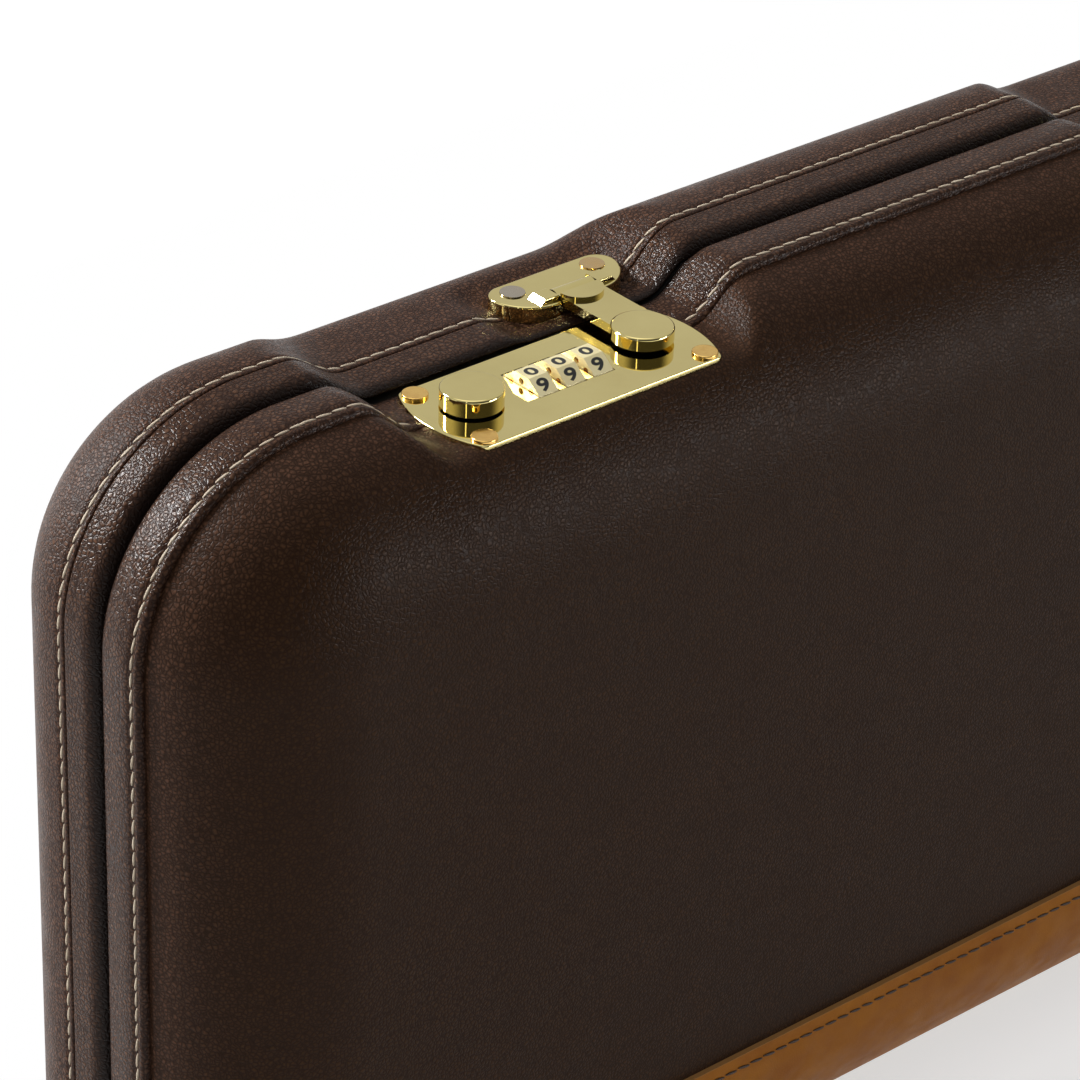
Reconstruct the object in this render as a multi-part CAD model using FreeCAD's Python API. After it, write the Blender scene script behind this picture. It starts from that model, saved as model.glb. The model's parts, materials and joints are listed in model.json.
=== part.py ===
import FreeCAD, Part
import math
import os

from FreeCAD import Vector

# A long, slim carrying case covered in leather: two moulded shells hinged along the bottom,
# two brass combination latches and a hinged carrying handle on the top edge.
# Millimetres. X runs along the case, the front shell is at -Y, the seam is at Y = 0, +Z is up.

# Case outline, measured over the padded rim bands
case_length = 820.0
case_height = 258.0
shell_depth = 47.0
rim_corner_radius = 50.0
ground_gap = 6.0

# Layers of each shell
seam_half_gap = 0.3
band_width = 17.0
band_proud = 3.0
band_roll_radius = 5.0
welt_radius = 1.4
cover_thickness = 2.0
wall_thickness = 3.0
lining_thickness = 2.0
shoulder_inset = 42.0
guard_thickness = 1.5
guard_height = 48.0

# Aluminium rim frames inside the seam
frame_depth = 12.0
frame_thickness = 3.0
tongue_clearance = 0.2
tongue_thickness = 1.8
tongue_reach = 4.0
tongue_root = 8.0

# Valleys pressed into the top rim for the latches and the handle
valley_drop = 10.6
valley_ramp = 21.0
latch_valley_half = 40.4
handle_valley_half = 90.0
latch_from_end = 122.0

# Latch plate on the front shell
plate_half_length = 40.5
plate_end_bulge = 4.3
plate_half_width = 16.1
plate_thickness = 1.2
plate_corner_radius = 2.0
plate_edge_round = 0.4
plate_sink = 0.8
plate_row_y = -17.8
seat_clearance = 0.1
rivet_spacing_x = 67.6
rivet_spacing_y = 25.2
rivet_head_radius = 3.2
rivet_head_height = 0.8
rivet_edge_round = 0.3
rivet_shank_radius = 1.1
rivet_clearance = 0.05
rivet_grip = 6.0

# Number dials
dial_row_offset = 1.2
dial_pitch = 8.4
dial_width = 5.8
dial_flats = 10
dial_apothem = 7.8
dial_rise = 3.0
dial_window_gap = 0.35
spindle_radius = 1.5
dial_running_fit = 0.05
dial_gate_radius = 0.9
dial_gate_depth = 0.8
dial_gate_inset = 1.7

# Latch housing under the plate
housing_wall = 0.8
housing_inner_left = 32.6
housing_inner_right = 30.0
housing_inner_half_width = 10.1
housing_inner_depth = 13.6
pocket_clearance = 0.2
bulkhead_thickness = 1.0
bulkhead_gap = 0.6

# Release knob and its bolt
knob_offset_x = 26.2
knob_radius = 7.65
knob_edge_round = 0.7
knob_gap = 0.6
release_knob_height = 4.4
release_travel = 3.5
knob_post_radius = 1.9
slot_clearance = 0.35
bolt_thickness = 0.9
bolt_gap = 0.4
bolt_strip_width = 2.6
bolt_arm_length = 5.2
bolt_nose_gap = 1.0
bolt_wall_gap = 0.5

# Hasp and keeper on the rear shell
hasp_knob_gap = 1.0
hasp_knob_height = 3.4
hasp_width = 12.0
hasp_thickness = 2.3
hasp_strap_gap = 1.8
hasp_tongue_rise = 0.9
hasp_barrel_width = 12.0
hasp_axis_y = 9.2
hasp_axis_above_seat = 3.4
hasp_barrel_radius = 2.4
hasp_pin_radius = 1.0
hasp_running_fit = 0.05
hasp_side_gap = 0.3
stud_clearance = 0.3
catch_hole_radius = 3.0
keeper_half_length = 19.2
keeper_near_y = 5.6
keeper_far_y = 21.0
keeper_height = 4.2
keeper_near_radius = 12.0
keeper_far_radius = 5.0
keeper_knuckle_reach = 12.0
keeper_knuckle_rise = 2.2
keeper_knuckle_bevel = 1.6
hasp_pin_cover = 2.0
keeper_rivet_spacing = 25.2
keeper_rivet_y = 16.4
keeper_rivet_radius = 3.1
keeper_rivet_proud = 0.3
keeper_rivet_recess = 1.2
keeper_edge_round = 0.5

# Bottom hinge
hinge_half_length = 270.0
hinge_leaf_thickness = 1.2
hinge_leaf_near = 3.2
hinge_leaf_far = 15.0
hinge_barrel_radius = 2.4
hinge_pin_radius = 1.2
hinge_running_fit = 0.06
hinge_axis_below_band = 1.5
hinge_knuckles = 18
hinge_knuckle_gap = 0.4
hinge_rivet_count = 10
hinge_rivet_head_radius = 2.6
hinge_rivet_head_height = 0.9
hinge_rivet_grip = 8.0

# Glides under the case
foot_radius = 7.0
foot_bevel = 1.2
foot_y = 25.5
front_foot_x = 300.0
rear_foot_x = 330.0

# Carrying handle
bracket_x = 69.0
bracket_length = 26.0
bracket_width = 20.0
bracket_base = 2.0
bracket_corner = 4.0
bracket_rivet_inset_x = 4.5
bracket_rivet_inset_y = 3.8
bracket_rivet_head_radius = 2.2
bracket_rivet_head_height = 1.0
lug_thickness = 7.6
lug_width = 11.0
handle_y = -15.0
handle_axis_rise = 8.0
handle_pin_radius = 2.5
handle_running_fit = 0.06
handle_eye_radius = 5.4
handle_side_gap = 0.4
handle_pin_end = 0.6
handle_rod_radius = 4.0
handle_bend_radius = 14.0
handle_reach = 34.0
grip_half_length = 44.0
grip_mid_radius = 9.5
grip_end_radius = 7.6
grip_end_round = 2.0

# Values that follow from the sizes above
rim_top = ground_gap + case_height
mid_z = ground_gap + case_height / 2
cover_half_length = case_length / 2 - band_proud
cover_half_height = case_height / 2 - band_proud
corner_axis_inset = rim_corner_radius - band_proud
shoulder_reach = shell_depth - band_width
valley_floor = rim_top - valley_drop
latch_x = case_length / 2 - latch_from_end
plate_bottom = valley_floor - plate_sink
plate_top = plate_bottom + plate_thickness
wall_outer = cover_thickness
wall_inner = cover_thickness + wall_thickness
lining_inner = wall_inner + lining_thickness
frame_inner = wall_inner + frame_thickness
hinge_axis_z = ground_gap - hinge_axis_below_band
handle_axis_z = valley_floor + bracket_base + handle_axis_rise
far = 2000.0
beyond = 20.0
lap = 0.5

X_AXIS = Vector(1, 0, 0)
Y_AXIS = Vector(0, 1, 0)
Z_AXIS = Vector(0, 0, 1)


# Small building helpers

def box(x0, x1, y0, y1, z0, z1):
    return Part.makeBox(x1 - x0, y1 - y0, z1 - z0, Vector(x0, y0, z0))


def rod_x(x0, x1, y, z, radius):
    return Part.makeCylinder(radius, x1 - x0, Vector(x0, y, z), X_AXIS)


def post(x, y, z0, z1, radius):
    return Part.makeCylinder(radius, z1 - z0, Vector(x, y, z0), Z_AXIS)


def joined(shapes):
    if len(shapes) == 1:
        return shapes[0]
    return shapes[0].multiFuse(shapes[1:]).removeSplitter()


def without(shape, tools):
    for tool in tools:
        shape = shape.cut(tool)
    return shape


def to_rear(shape):
    return shape.mirror(Vector(0, 0, 0), Y_AXIS)


def save(shape, node):
    shape.exportStep("parts/" + node + ".step")


def rounded_outline(inset, y):
    # The case outline, set in from the cover by the given amount, in the plane at y.
    half_x = cover_half_length - inset
    half_z = cover_half_height - inset
    radius = corner_axis_inset - inset
    low = mid_z - half_z
    high = mid_z + half_z
    turn = radius * (1 - math.sqrt(0.5))
    corners = [
        (-half_x, low + radius, -half_x + turn, low + turn, -half_x + radius, low),
        (half_x - radius, low, half_x - turn, low + turn, half_x, low + radius),
        (half_x, high - radius, half_x - turn, high - turn, half_x - radius, high),
        (-half_x + radius, high, -half_x + turn, high - turn, -half_x, high - radius),
    ]
    edges = []
    for i in range(4):
        ax, az, bx, bz, cx, cz = corners[i]
        arc = Part.Arc(Vector(ax, y, az), Vector(bx, y, bz), Vector(cx, y, cz))
        edges.append(arc.toShape())
        nx, nz = corners[(i + 1) % 4][:2]
        edges.append(Part.makeLine(Vector(cx, y, cz), Vector(nx, y, nz)))
    return Part.Wire(edges)


def outline_block(inset, depth_from, depth_to):
    # A block with the case outline, running forward of the seam between two depths.
    face = Part.Face(rounded_outline(inset, -depth_from))
    return face.extrude(Vector(0, depth_from - depth_to, 0))


def shoulder_profile(inset):
    # Cross-section of the rounded shoulder at the top edge, from the welt line to the corner axis.
    top = mid_z + cover_half_height
    across = shoulder_inset - inset
    forward = shoulder_reach - inset
    centre_z = top - shoulder_inset
    arc_points = []
    for step in range(3):
        angle = math.pi / 4 * step
        y = -band_width - forward * math.sin(angle)
        z = centre_z + across * math.cos(angle)
        arc_points.append(Vector(0, y, z))
    if across >= forward:
        ellipse = Part.Ellipse(arc_points[0], arc_points[2], Vector(0, -band_width, centre_z))
    else:
        ellipse = Part.Ellipse(arc_points[2], arc_points[0], Vector(0, -band_width, centre_z))
    start = ellipse.parameter(arc_points[0])
    middle = ellipse.parameter(arc_points[1])
    end = ellipse.parameter(arc_points[2])
    if start < middle < end:
        arc = Part.ArcOfEllipse(ellipse, start, end)
    elif end < middle < start:
        arc = Part.ArcOfEllipse(ellipse, end, start)
    elif start < middle:
        arc = Part.ArcOfEllipse(ellipse, start, end + 2 * math.pi)
    else:
        arc = Part.ArcOfEllipse(ellipse, end, start + 2 * math.pi)
    axis_z = top - corner_axis_inset
    front_y = arc_points[2].y
    corner = Vector(0, front_y, axis_z)
    foot = Vector(0, -band_width, axis_z)
    edges = [
        arc.toShape(),
        Part.makeLine(arc_points[2], corner),
        Part.makeLine(corner, foot),
        Part.makeLine(foot, arc_points[0]),
    ]
    return Part.Face(Part.Wire(Part.__sortEdges__(edges)))


def shoulder_block(inset):
    # The front of a shell: rounded shoulder all round and the flat face it runs into.
    straight_x = cover_half_length - corner_axis_inset
    straight_z = cover_half_height - corner_axis_inset
    section = shoulder_profile(inset)
    top_bar = section.translated(Vector(-straight_x, 0, 0)).extrude(Vector(2 * straight_x, 0, 0))
    axis_point = Vector(straight_x, 0, mid_z + straight_z)
    end_section = section.translated(Vector(straight_x, 0, 0))
    corner = end_section.revolve(axis_point, Y_AXIS, 90)
    side_section = end_section.rotated(axis_point, Y_AXIS, 90)
    side_bar = side_section.extrude(Vector(0, 0, -2 * straight_z))
    half_turn = [top_bar, corner, side_bar]
    centre = Vector(0, 0, mid_z)
    lower_corner = corner.mirror(centre, Z_AXIS)
    opposite = [piece.rotated(centre, Y_AXIS, 180) for piece in half_turn + [lower_corner]]
    middle = box(
        -straight_x, straight_x,
        -shell_depth + inset, -band_width,
        mid_z - straight_z, mid_z + straight_z,
    )
    return joined(half_turn + [lower_corner] + opposite + [middle])


def valley_cut(x, half_width, drop):
    # The space above one valley: flat floor, smooth ramps up to the rim at both ends.
    floor = rim_top - drop
    edge = rim_top - drop + valley_drop
    lift = rim_top + beyond
    ramp_start = half_width + valley_ramp
    reach = valley_ramp / 2
    front = -shell_depth - beyond
    left = Part.BezierCurve()
    left.setPoles([
        Vector(x - ramp_start, front, edge),
        Vector(x - ramp_start + reach, front, edge),
        Vector(x - half_width - reach, front, floor),
        Vector(x - half_width, front, floor),
    ])
    right = Part.BezierCurve()
    right.setPoles([
        Vector(x + half_width, front, floor),
        Vector(x + half_width + reach, front, floor),
        Vector(x + ramp_start - reach, front, edge),
        Vector(x + ramp_start, front, edge),
    ])
    edges = [
        left.toShape(),
        Part.makeLine(Vector(x - half_width, front, floor), Vector(x + half_width, front, floor)),
        right.toShape(),
        Part.makeLine(Vector(x + ramp_start, front, edge), Vector(x + ramp_start, front, lift)),
        Part.makeLine(Vector(x + ramp_start, front, lift), Vector(x - ramp_start, front, lift)),
        Part.makeLine(Vector(x - ramp_start, front, lift), Vector(x - ramp_start, front, edge)),
    ]
    face = Part.Face(Part.Wire(edges))
    return face.extrude(Vector(0, shell_depth + 3 * beyond, 0))


def valleys(inset):
    # All three valleys, for the layer that lies the given amount under the leather.
    return [
        valley_cut(-latch_x, latch_valley_half, valley_drop + inset),
        valley_cut(latch_x, latch_valley_half, valley_drop + inset),
        valley_cut(0.0, handle_valley_half, valley_drop + inset),
    ]


def shell_solid(inset, depth_from):
    # One front half, filled: everything inside the surface that lies inset under the cover.
    rim = outline_block(inset, depth_from, band_width)
    whole = joined([rim, shoulder_block(inset)])
    return without(whole, valleys(inset))


def rivet(x, y, seat_z, head_radius, head_height, grip):
    # A flat-headed rivet pointing down, with its head on the given surface.
    head = post(x, y, seat_z, seat_z + head_height, head_radius)
    top = []
    for edge in head.Edges:
        if min(vertex.Z for vertex in edge.Vertexes) > seat_z + head_height - 0.001:
            top.append(edge)
    head = head.makeFillet(rivet_edge_round, top)
    shank = post(x, y, seat_z - grip, seat_z, rivet_shank_radius)
    return joined([head, shank])


# Where the parts of a latch lie

def plate_face_wire(x, y, z, grow):
    half_x = plate_half_length + grow
    half_y = plate_half_width + grow
    corner_x = half_x - plate_end_bulge
    a = Vector(x - corner_x, y - half_y, z)
    b = Vector(x + corner_x, y - half_y, z)
    c = Vector(x + corner_x, y + half_y, z)
    d = Vector(x - corner_x, y + half_y, z)
    return Part.Wire([
        Part.makeLine(a, b),
        Part.Arc(b, Vector(x + half_x, y, z), c).toShape(),
        Part.makeLine(c, d),
        Part.Arc(d, Vector(x - half_x, y, z), a).toShape(),
    ])


def plate_blank(x, grow, z0, z1):
    blank = Part.Face(plate_face_wire(x, plate_row_y, z0, grow)).extrude(Vector(0, 0, z1 - z0))
    upright = []
    for edge in blank.Edges:
        if abs(edge.Vertexes[0].Z - edge.Vertexes[-1].Z) > (z1 - z0) / 2:
            upright.append(edge)
    return blank.makeFillet(plate_corner_radius, upright)


def keeper_blank(x, grow, z0, z1):
    blank = box(
        x - keeper_half_length - grow, x + keeper_half_length + grow,
        keeper_near_y - grow, keeper_far_y + grow, z0, z1,
    )
    near = []
    distant = []
    for edge in blank.Edges:
        a = edge.Vertexes[0]
        b = edge.Vertexes[-1]
        if abs(a.Z - b.Z) < (z1 - z0) / 2:
            continue
        if a.Y < (keeper_near_y + keeper_far_y) / 2:
            near.append(edge)
        else:
            distant.append(edge)
    blank = blank.makeFillet(keeper_near_radius, near)
    distant = []
    for edge in blank.Edges:
        a = edge.Vertexes[0]
        b = edge.Vertexes[-1]
        upright = abs(a.Z - b.Z) > (z1 - z0) / 2 and abs(a.X - b.X) < 0.001
        if upright and min(a.Y, b.Y) > keeper_far_y + grow - 0.001:
            distant.append(edge)
    return blank.makeFillet(keeper_far_radius, distant)


def latch_rivet_places(x):
    places = []
    for side_x in (-1, 1):
        for side_y in (-1, 1):
            places.append((x + side_x * rivet_spacing_x / 2, plate_row_y + side_y * rivet_spacing_y / 2))
    return places


def keeper_rivet_places(hasp_x):
    half = keeper_rivet_spacing / 2
    return [(hasp_x - half, keeper_rivet_y), (hasp_x + half, keeper_rivet_y)]


def housing_box(x, grow, z0, z1):
    side = housing_wall + grow
    return box(
        x - housing_inner_left - side, x + housing_inner_right + side,
        plate_row_y - housing_inner_half_width - side, plate_row_y + housing_inner_half_width + side,
        z0, z1,
    )


def rivet_hole(x, y, seat_z, grip):
    return post(x, y, seat_z - grip, seat_z + beyond, rivet_shank_radius + rivet_clearance)


dial_y = plate_row_y + dial_row_offset
dial_z = plate_top + dial_rise - dial_apothem
dial_tip_radius = dial_apothem / math.cos(math.pi / dial_flats)
housing_floor = plate_bottom - housing_inner_depth
hasp_axis_z = plate_bottom + hasp_axis_above_seat
keeper_top = plate_bottom + keeper_height
bracket_places = [-bracket_x, bracket_x]
bracket_rivet_x = bracket_length / 2 - bracket_rivet_inset_x
bracket_rivet_y = bracket_width / 2 - bracket_rivet_inset_y


def bracket_rivet_places():
    places = []
    for x in bracket_places:
        inward = -1 if x > 0 else 1
        for side in (-1, 1):
            places.append((x + inward * bracket_rivet_x, handle_y + side * bracket_rivet_y))
            places.append((x - inward * bracket_rivet_x, handle_y + side * bracket_rivet_y))
    return places


def hinge_rivet_places(side):
    step = 2 * hinge_half_length / hinge_rivet_count
    y = side * (hinge_leaf_near + hinge_leaf_far) / 2
    return [(-hinge_half_length + step * (i + 0.5), y) for i in range(hinge_rivet_count)]


def hinge_rivet_hole(x, y):
    return post(x, y, ground_gap - beyond, ground_gap - hinge_leaf_thickness + hinge_rivet_grip,
                rivet_shank_radius + rivet_clearance)


latch_places = [("left", -latch_x), ("right", latch_x)]

# Cutters through the front shell: latch pockets, latch plate seats and rivet holes
front_cutters = []
for name, x in latch_places:
    front_cutters.append(plate_blank(x, seat_clearance, plate_bottom, plate_top + beyond))
    front_cutters.append(housing_box(x, pocket_clearance, housing_floor - beyond, plate_top))
    for rivet_x, rivet_y in latch_rivet_places(x):
        front_cutters.append(rivet_hole(rivet_x, rivet_y, plate_top, rivet_grip))
for rivet_x, rivet_y in bracket_rivet_places():
    front_cutters.append(rivet_hole(rivet_x, rivet_y, valley_floor + bracket_base, rivet_grip))
for rivet_x, rivet_y in hinge_rivet_places(-1):
    front_cutters.append(hinge_rivet_hole(rivet_x, rivet_y))

# Cutters through the rear shell: keeper seats and rivet holes
rear_cutters = []
for name, x in latch_places:
    hasp_x = x + knob_offset_x
    rear_cutters.append(keeper_blank(hasp_x, seat_clearance, plate_bottom, plate_top + beyond))
    for rivet_x, rivet_y in keeper_rivet_places(hasp_x):
        rear_cutters.append(rivet_hole(rivet_x, rivet_y, plate_bottom, rivet_grip))
for rivet_x, rivet_y in hinge_rivet_places(1):
    rear_cutters.append(hinge_rivet_hole(rivet_x, rivet_y))

# Shell layers, made once at the front and mirrored for the rear
wall_solid = shell_solid(wall_outer, seam_half_gap)
wall_core = shell_solid(wall_inner, -tongue_reach - 2.0)
lining_core = shell_solid(lining_inner, -tongue_reach - 2.0)
shell_wall = wall_solid.cut(wall_core)
cover_solid = without(shoulder_block(0.0), valleys(0.0))
cover = cover_solid.cut(wall_solid)
lining_start = box(-far, far, -frame_depth, far, -far, far)
lining = wall_core.cut(lining_core).cut(lining_start)

# Padded rim band: rolled at the seam, welted at its outer edge
band_block = outline_block(-band_proud, seam_half_gap, band_width)
seam_edges = []
for edge in band_block.Edges:
    if max(-vertex.Y for vertex in edge.Vertexes) < seam_half_gap + 0.001:
        seam_edges.append(edge)
band_block = band_block.makeFillet(band_roll_radius, seam_edges)
welt_edges = []
for edge in band_block.Edges:
    if min(-vertex.Y for vertex in edge.Vertexes) > band_width - 0.001:
        welt_edges.append(edge)
band_block = band_block.makeFillet(welt_radius, welt_edges)
rim_band = without(band_block, valleys(0.0)).cut(wall_solid)

# Tan guard over the lower shoulder of each shell
guard_top = ground_gap + guard_height
guard_zone = box(-far, far, -far, 0.0, -far, guard_top)
guard = shoulder_block(-guard_thickness).common(guard_zone).cut(cover_solid)

# Aluminium rim frames: flat rings inside the walls, and a tongue at the front that enters the lid
frame_ring = without(outline_block(wall_inner, seam_half_gap, frame_depth), valleys(wall_inner))
frame_space = without(outline_block(frame_inner, -1.0, frame_depth + 1.0), valleys(frame_inner))
plain_frame = frame_ring.cut(frame_space)
tongue_outer = frame_inner + tongue_clearance
tongue_inner = tongue_outer + tongue_thickness
tongue_block = without(outline_block(tongue_outer, -tongue_reach, tongue_root), valleys(tongue_outer))
tongue_space = outline_block(tongue_inner, -tongue_reach - 1.0, tongue_root + 1.0)
tongue_space = without(tongue_space, valleys(tongue_inner))
root_inset = frame_inner - lap
root_block = outline_block(root_inset, tongue_root / 2, tongue_root)
root_block = without(root_block, valleys(root_inset))
tongue = joined([tongue_block, root_block]).cut(tongue_space)
front_frame = joined([plain_frame, tongue])

front_layers = [
    ("shell", shell_wall),
    ("cover", cover),
    ("rim_band", rim_band),
    ("base_guard", guard),
    ("lining", lining),
]
for layer, shape in front_layers:
    save(without(shape, front_cutters), "front_" + layer)
    save(without(to_rear(shape), rear_cutters), "rear_" + layer)
save(without(front_frame, front_cutters), "front_rim_frame")
save(without(to_rear(plain_frame), rear_cutters), "rear_rim_frame")


# Glides, seated on the guards
def feet(x):
    guard_body = shoulder_block(-guard_thickness)
    pieces = []
    for place in (-x, x):
        glide = post(place, -foot_y, 0.0, ground_gap + beyond, foot_radius)
        low = []
        for edge in glide.Edges:
            if max(vertex.Z for vertex in edge.Vertexes) < 0.001:
                low.append(edge)
        glide = glide.makeChamfer(foot_bevel, low)
        pieces.append(glide.cut(guard_body).Solids[0])
    return Part.makeCompound(pieces)


save(feet(front_foot_x), "front_feet")
save(to_rear(feet(rear_foot_x)), "rear_feet")


# Bottom hinge
def hinge_leaf(parity):
    leaf_low = ground_gap - hinge_leaf_thickness
    leaf = box(-hinge_half_length, hinge_half_length, -hinge_leaf_far, -hinge_leaf_near,
               leaf_low, ground_gap)
    pieces = [leaf]
    pitch = 2 * hinge_half_length / hinge_knuckles
    for i in range(hinge_knuckles):
        if i % 2 != parity:
            continue
        start = -hinge_half_length + pitch * i + hinge_knuckle_gap / 2
        end = start + pitch - hinge_knuckle_gap
        pieces.append(box(start, end, -hinge_leaf_near - lap, 0.0, leaf_low, ground_gap))
        pieces.append(rod_x(start, end, 0.0, hinge_axis_z, hinge_barrel_radius))
    bore = rod_x(
        -hinge_half_length - 1.0, hinge_half_length + 1.0, 0.0, hinge_axis_z,
        hinge_pin_radius + hinge_running_fit,
    )
    leaf = joined(pieces).cut(bore)
    return without(leaf, [hinge_rivet_hole(x, y) for x, y in hinge_rivet_places(-1)])


def hinge_rivets(side):
    pieces = []
    for x, y in hinge_rivet_places(side):
        seat = ground_gap - hinge_leaf_thickness
        upright = rivet(x, y, 0.0, hinge_rivet_head_radius, hinge_rivet_head_height, hinge_rivet_grip)
        turned = upright.rotated(Vector(x, y, 0.0), X_AXIS, 180)
        pieces.append(turned.translated(Vector(0, 0, seat)))
    return Part.makeCompound(pieces)


save(hinge_leaf(0), "hinge_leaf_front")
save(to_rear(hinge_leaf(1)), "hinge_leaf_rear")
save(rod_x(-hinge_half_length, hinge_half_length, 0.0, hinge_axis_z, hinge_pin_radius), "hinge_pin")
save(hinge_rivets(-1), "hinge_rivets_front")
save(hinge_rivets(1), "hinge_rivets_rear")


# Latches
def latch_plate(x):
    plate = plate_blank(x, 0.0, plate_bottom, plate_top)
    top_edges = []
    for edge in plate.Edges:
        if min(vertex.Z for vertex in edge.Vertexes) > plate_top - 0.001:
            top_edges.append(edge)
    plate = plate.makeFillet(plate_edge_round, top_edges)
    cutters = []
    for i in (-1, 0, 1):
        half = dial_width / 2 + dial_window_gap
        reach = dial_tip_radius + dial_window_gap
        centre = x + i * dial_pitch
        cutters.append(rod_x(centre - half, centre + half, dial_y, dial_z, reach))
    slot_half = knob_post_radius + slot_clearance
    knob_x = x - knob_offset_x
    cutters.append(box(knob_x - release_travel, knob_x, dial_y - slot_half, dial_y + slot_half,
                       plate_bottom - 1.0, plate_top + 1.0))
    cutters.append(post(knob_x, dial_y, plate_bottom - 1.0, plate_top + 1.0, slot_half))
    cutters.append(post(knob_x - release_travel, dial_y, plate_bottom - 1.0, plate_top + 1.0, slot_half))
    cutters.append(post(x + knob_offset_x, dial_y, plate_bottom - 1.0, plate_top + 1.0,
                        catch_hole_radius))
    for rivet_x, rivet_y in latch_rivet_places(x):
        cutters.append(rivet_hole(rivet_x, rivet_y, plate_top, rivet_grip))
    return without(plate, cutters)


def latch_housing(x):
    tray = housing_box(x, 0.0, housing_floor - housing_wall, plate_bottom)
    inside = housing_box(x, -housing_wall, housing_floor, plate_bottom + 1.0)
    tray = tray.cut(inside)
    pieces = [tray]
    reach = 1.5 * dial_pitch + bulkhead_gap
    for side in (-1, 1):
        start = x + side * reach
        end = start + side * bulkhead_thickness
        pieces.append(box(min(start, end), max(start, end), dial_y - dial_apothem / 2,
                          dial_y + dial_apothem / 2, housing_floor, dial_z + 2 * spindle_radius))
    bore = rod_x(x - reach - 2.0, x + reach + 2.0, dial_y, dial_z, spindle_radius + rivet_clearance)
    return joined(pieces).cut(bore)


def dial_spindle(x):
    reach = 1.5 * dial_pitch + bulkhead_gap + bulkhead_thickness
    return rod_x(x - reach, x + reach, dial_y, dial_z, spindle_radius)


def number_dial(x, place):
    centre = x + place * dial_pitch
    points = []
    for i in range(dial_flats + 1):
        angle = math.pi / 2 + math.pi / dial_flats + 2 * math.pi / dial_flats * i
        y = dial_y + dial_tip_radius * math.cos(angle)
        z = dial_z + dial_tip_radius * math.sin(angle)
        points.append(Vector(centre - dial_width / 2, y, z))
    wheel = Part.Face(Part.makePolygon(points)).extrude(Vector(dial_width, 0, 0))
    bore_radius = spindle_radius + dial_running_fit
    bore = rod_x(centre - dial_width, centre + dial_width, dial_y, dial_z, bore_radius)
    # A shallow round gate in the left side, under the flat that is on top at rest.
    left = centre - dial_width / 2
    gate_z = dial_z + dial_apothem - dial_gate_inset
    gate = rod_x(left - lap, left + dial_gate_depth, dial_y, gate_z, dial_gate_radius)
    return wheel.cut(bore).cut(gate)


def round_knob(x, low, height):
    knob = post(x, dial_y, low, low + height, knob_radius)
    top = []
    for edge in knob.Edges:
        if min(vertex.Z for vertex in edge.Vertexes) > low + height - 0.001:
            top.append(edge)
    return knob.makeFillet(knob_edge_round, top)


bolt_top = plate_bottom - bolt_gap
bolt_low = bolt_top - bolt_thickness
strip_near = plate_row_y - housing_inner_half_width + bolt_wall_gap


def release_knob(x):
    knob_x = x - knob_offset_x
    low = plate_top + knob_gap
    stem = post(knob_x, dial_y, bolt_low, low + lap, knob_post_radius)
    return joined([round_knob(knob_x, low, release_knob_height), stem])


def release_bolt(x):
    knob_x = x - knob_offset_x
    half = bolt_arm_length / 2
    nose = x + knob_offset_x - catch_hole_radius - bolt_nose_gap
    strip = box(knob_x - half, nose, strip_near, strip_near + bolt_strip_width, bolt_low, bolt_top)
    arm = box(knob_x - half, knob_x + half, strip_near, dial_y + half, bolt_low, bolt_top)
    hook = box(nose - bolt_strip_width, nose, strip_near, dial_y, bolt_low, bolt_top)
    hole = post(knob_x, dial_y, bolt_low - 1.0, bolt_top + 1.0, knob_post_radius + rivet_clearance)
    return joined([strip, arm, hook]).cut(hole)


def latch_rivets(x):
    heads = []
    for rivet_x, rivet_y in latch_rivet_places(x):
        heads.append(rivet(rivet_x, rivet_y, plate_top, rivet_head_radius, rivet_head_height,
                           rivet_grip))
    return Part.makeCompound(heads)


def hasp(x):
    hasp_x = x + knob_offset_x
    low = plate_top + hasp_strap_gap
    top = low + hasp_thickness
    half_barrel = hasp_barrel_width / 2
    root_y = hasp_axis_y - hasp_barrel_radius - hasp_side_gap
    strap = box(hasp_x - hasp_width / 2, hasp_x + hasp_width / 2, dial_y, root_y, low, top)
    neck = box(hasp_x - half_barrel, hasp_x + half_barrel, root_y - lap, hasp_axis_y, low, top)
    barrel = rod_x(hasp_x - half_barrel, hasp_x + half_barrel, hasp_axis_y, hasp_axis_z,
                   hasp_barrel_radius)
    tongue_disc = post(hasp_x, root_y, top - lap, top + hasp_tongue_rise, hasp_width / 2)
    tongue_disc = tongue_disc.cut(box(-far, far, root_y, far, -far, far))
    hole = post(hasp_x, dial_y, low - 1.0, top + 1.0, knob_radius + rivet_clearance)
    bore = rod_x(hasp_x - half_barrel - 1.0, hasp_x + half_barrel + 1.0, hasp_axis_y, hasp_axis_z,
                 hasp_pin_radius + hasp_running_fit)
    return joined([strap, neck, barrel, tongue_disc]).cut(hole).cut(bore)


def hasp_knob(x):
    hasp_x = x + knob_offset_x
    low = plate_top + hasp_knob_gap
    stud = post(hasp_x, dial_y, plate_top + stud_clearance, low + lap, knob_post_radius)
    return joined([round_knob(hasp_x, low, hasp_knob_height), stud])


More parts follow.
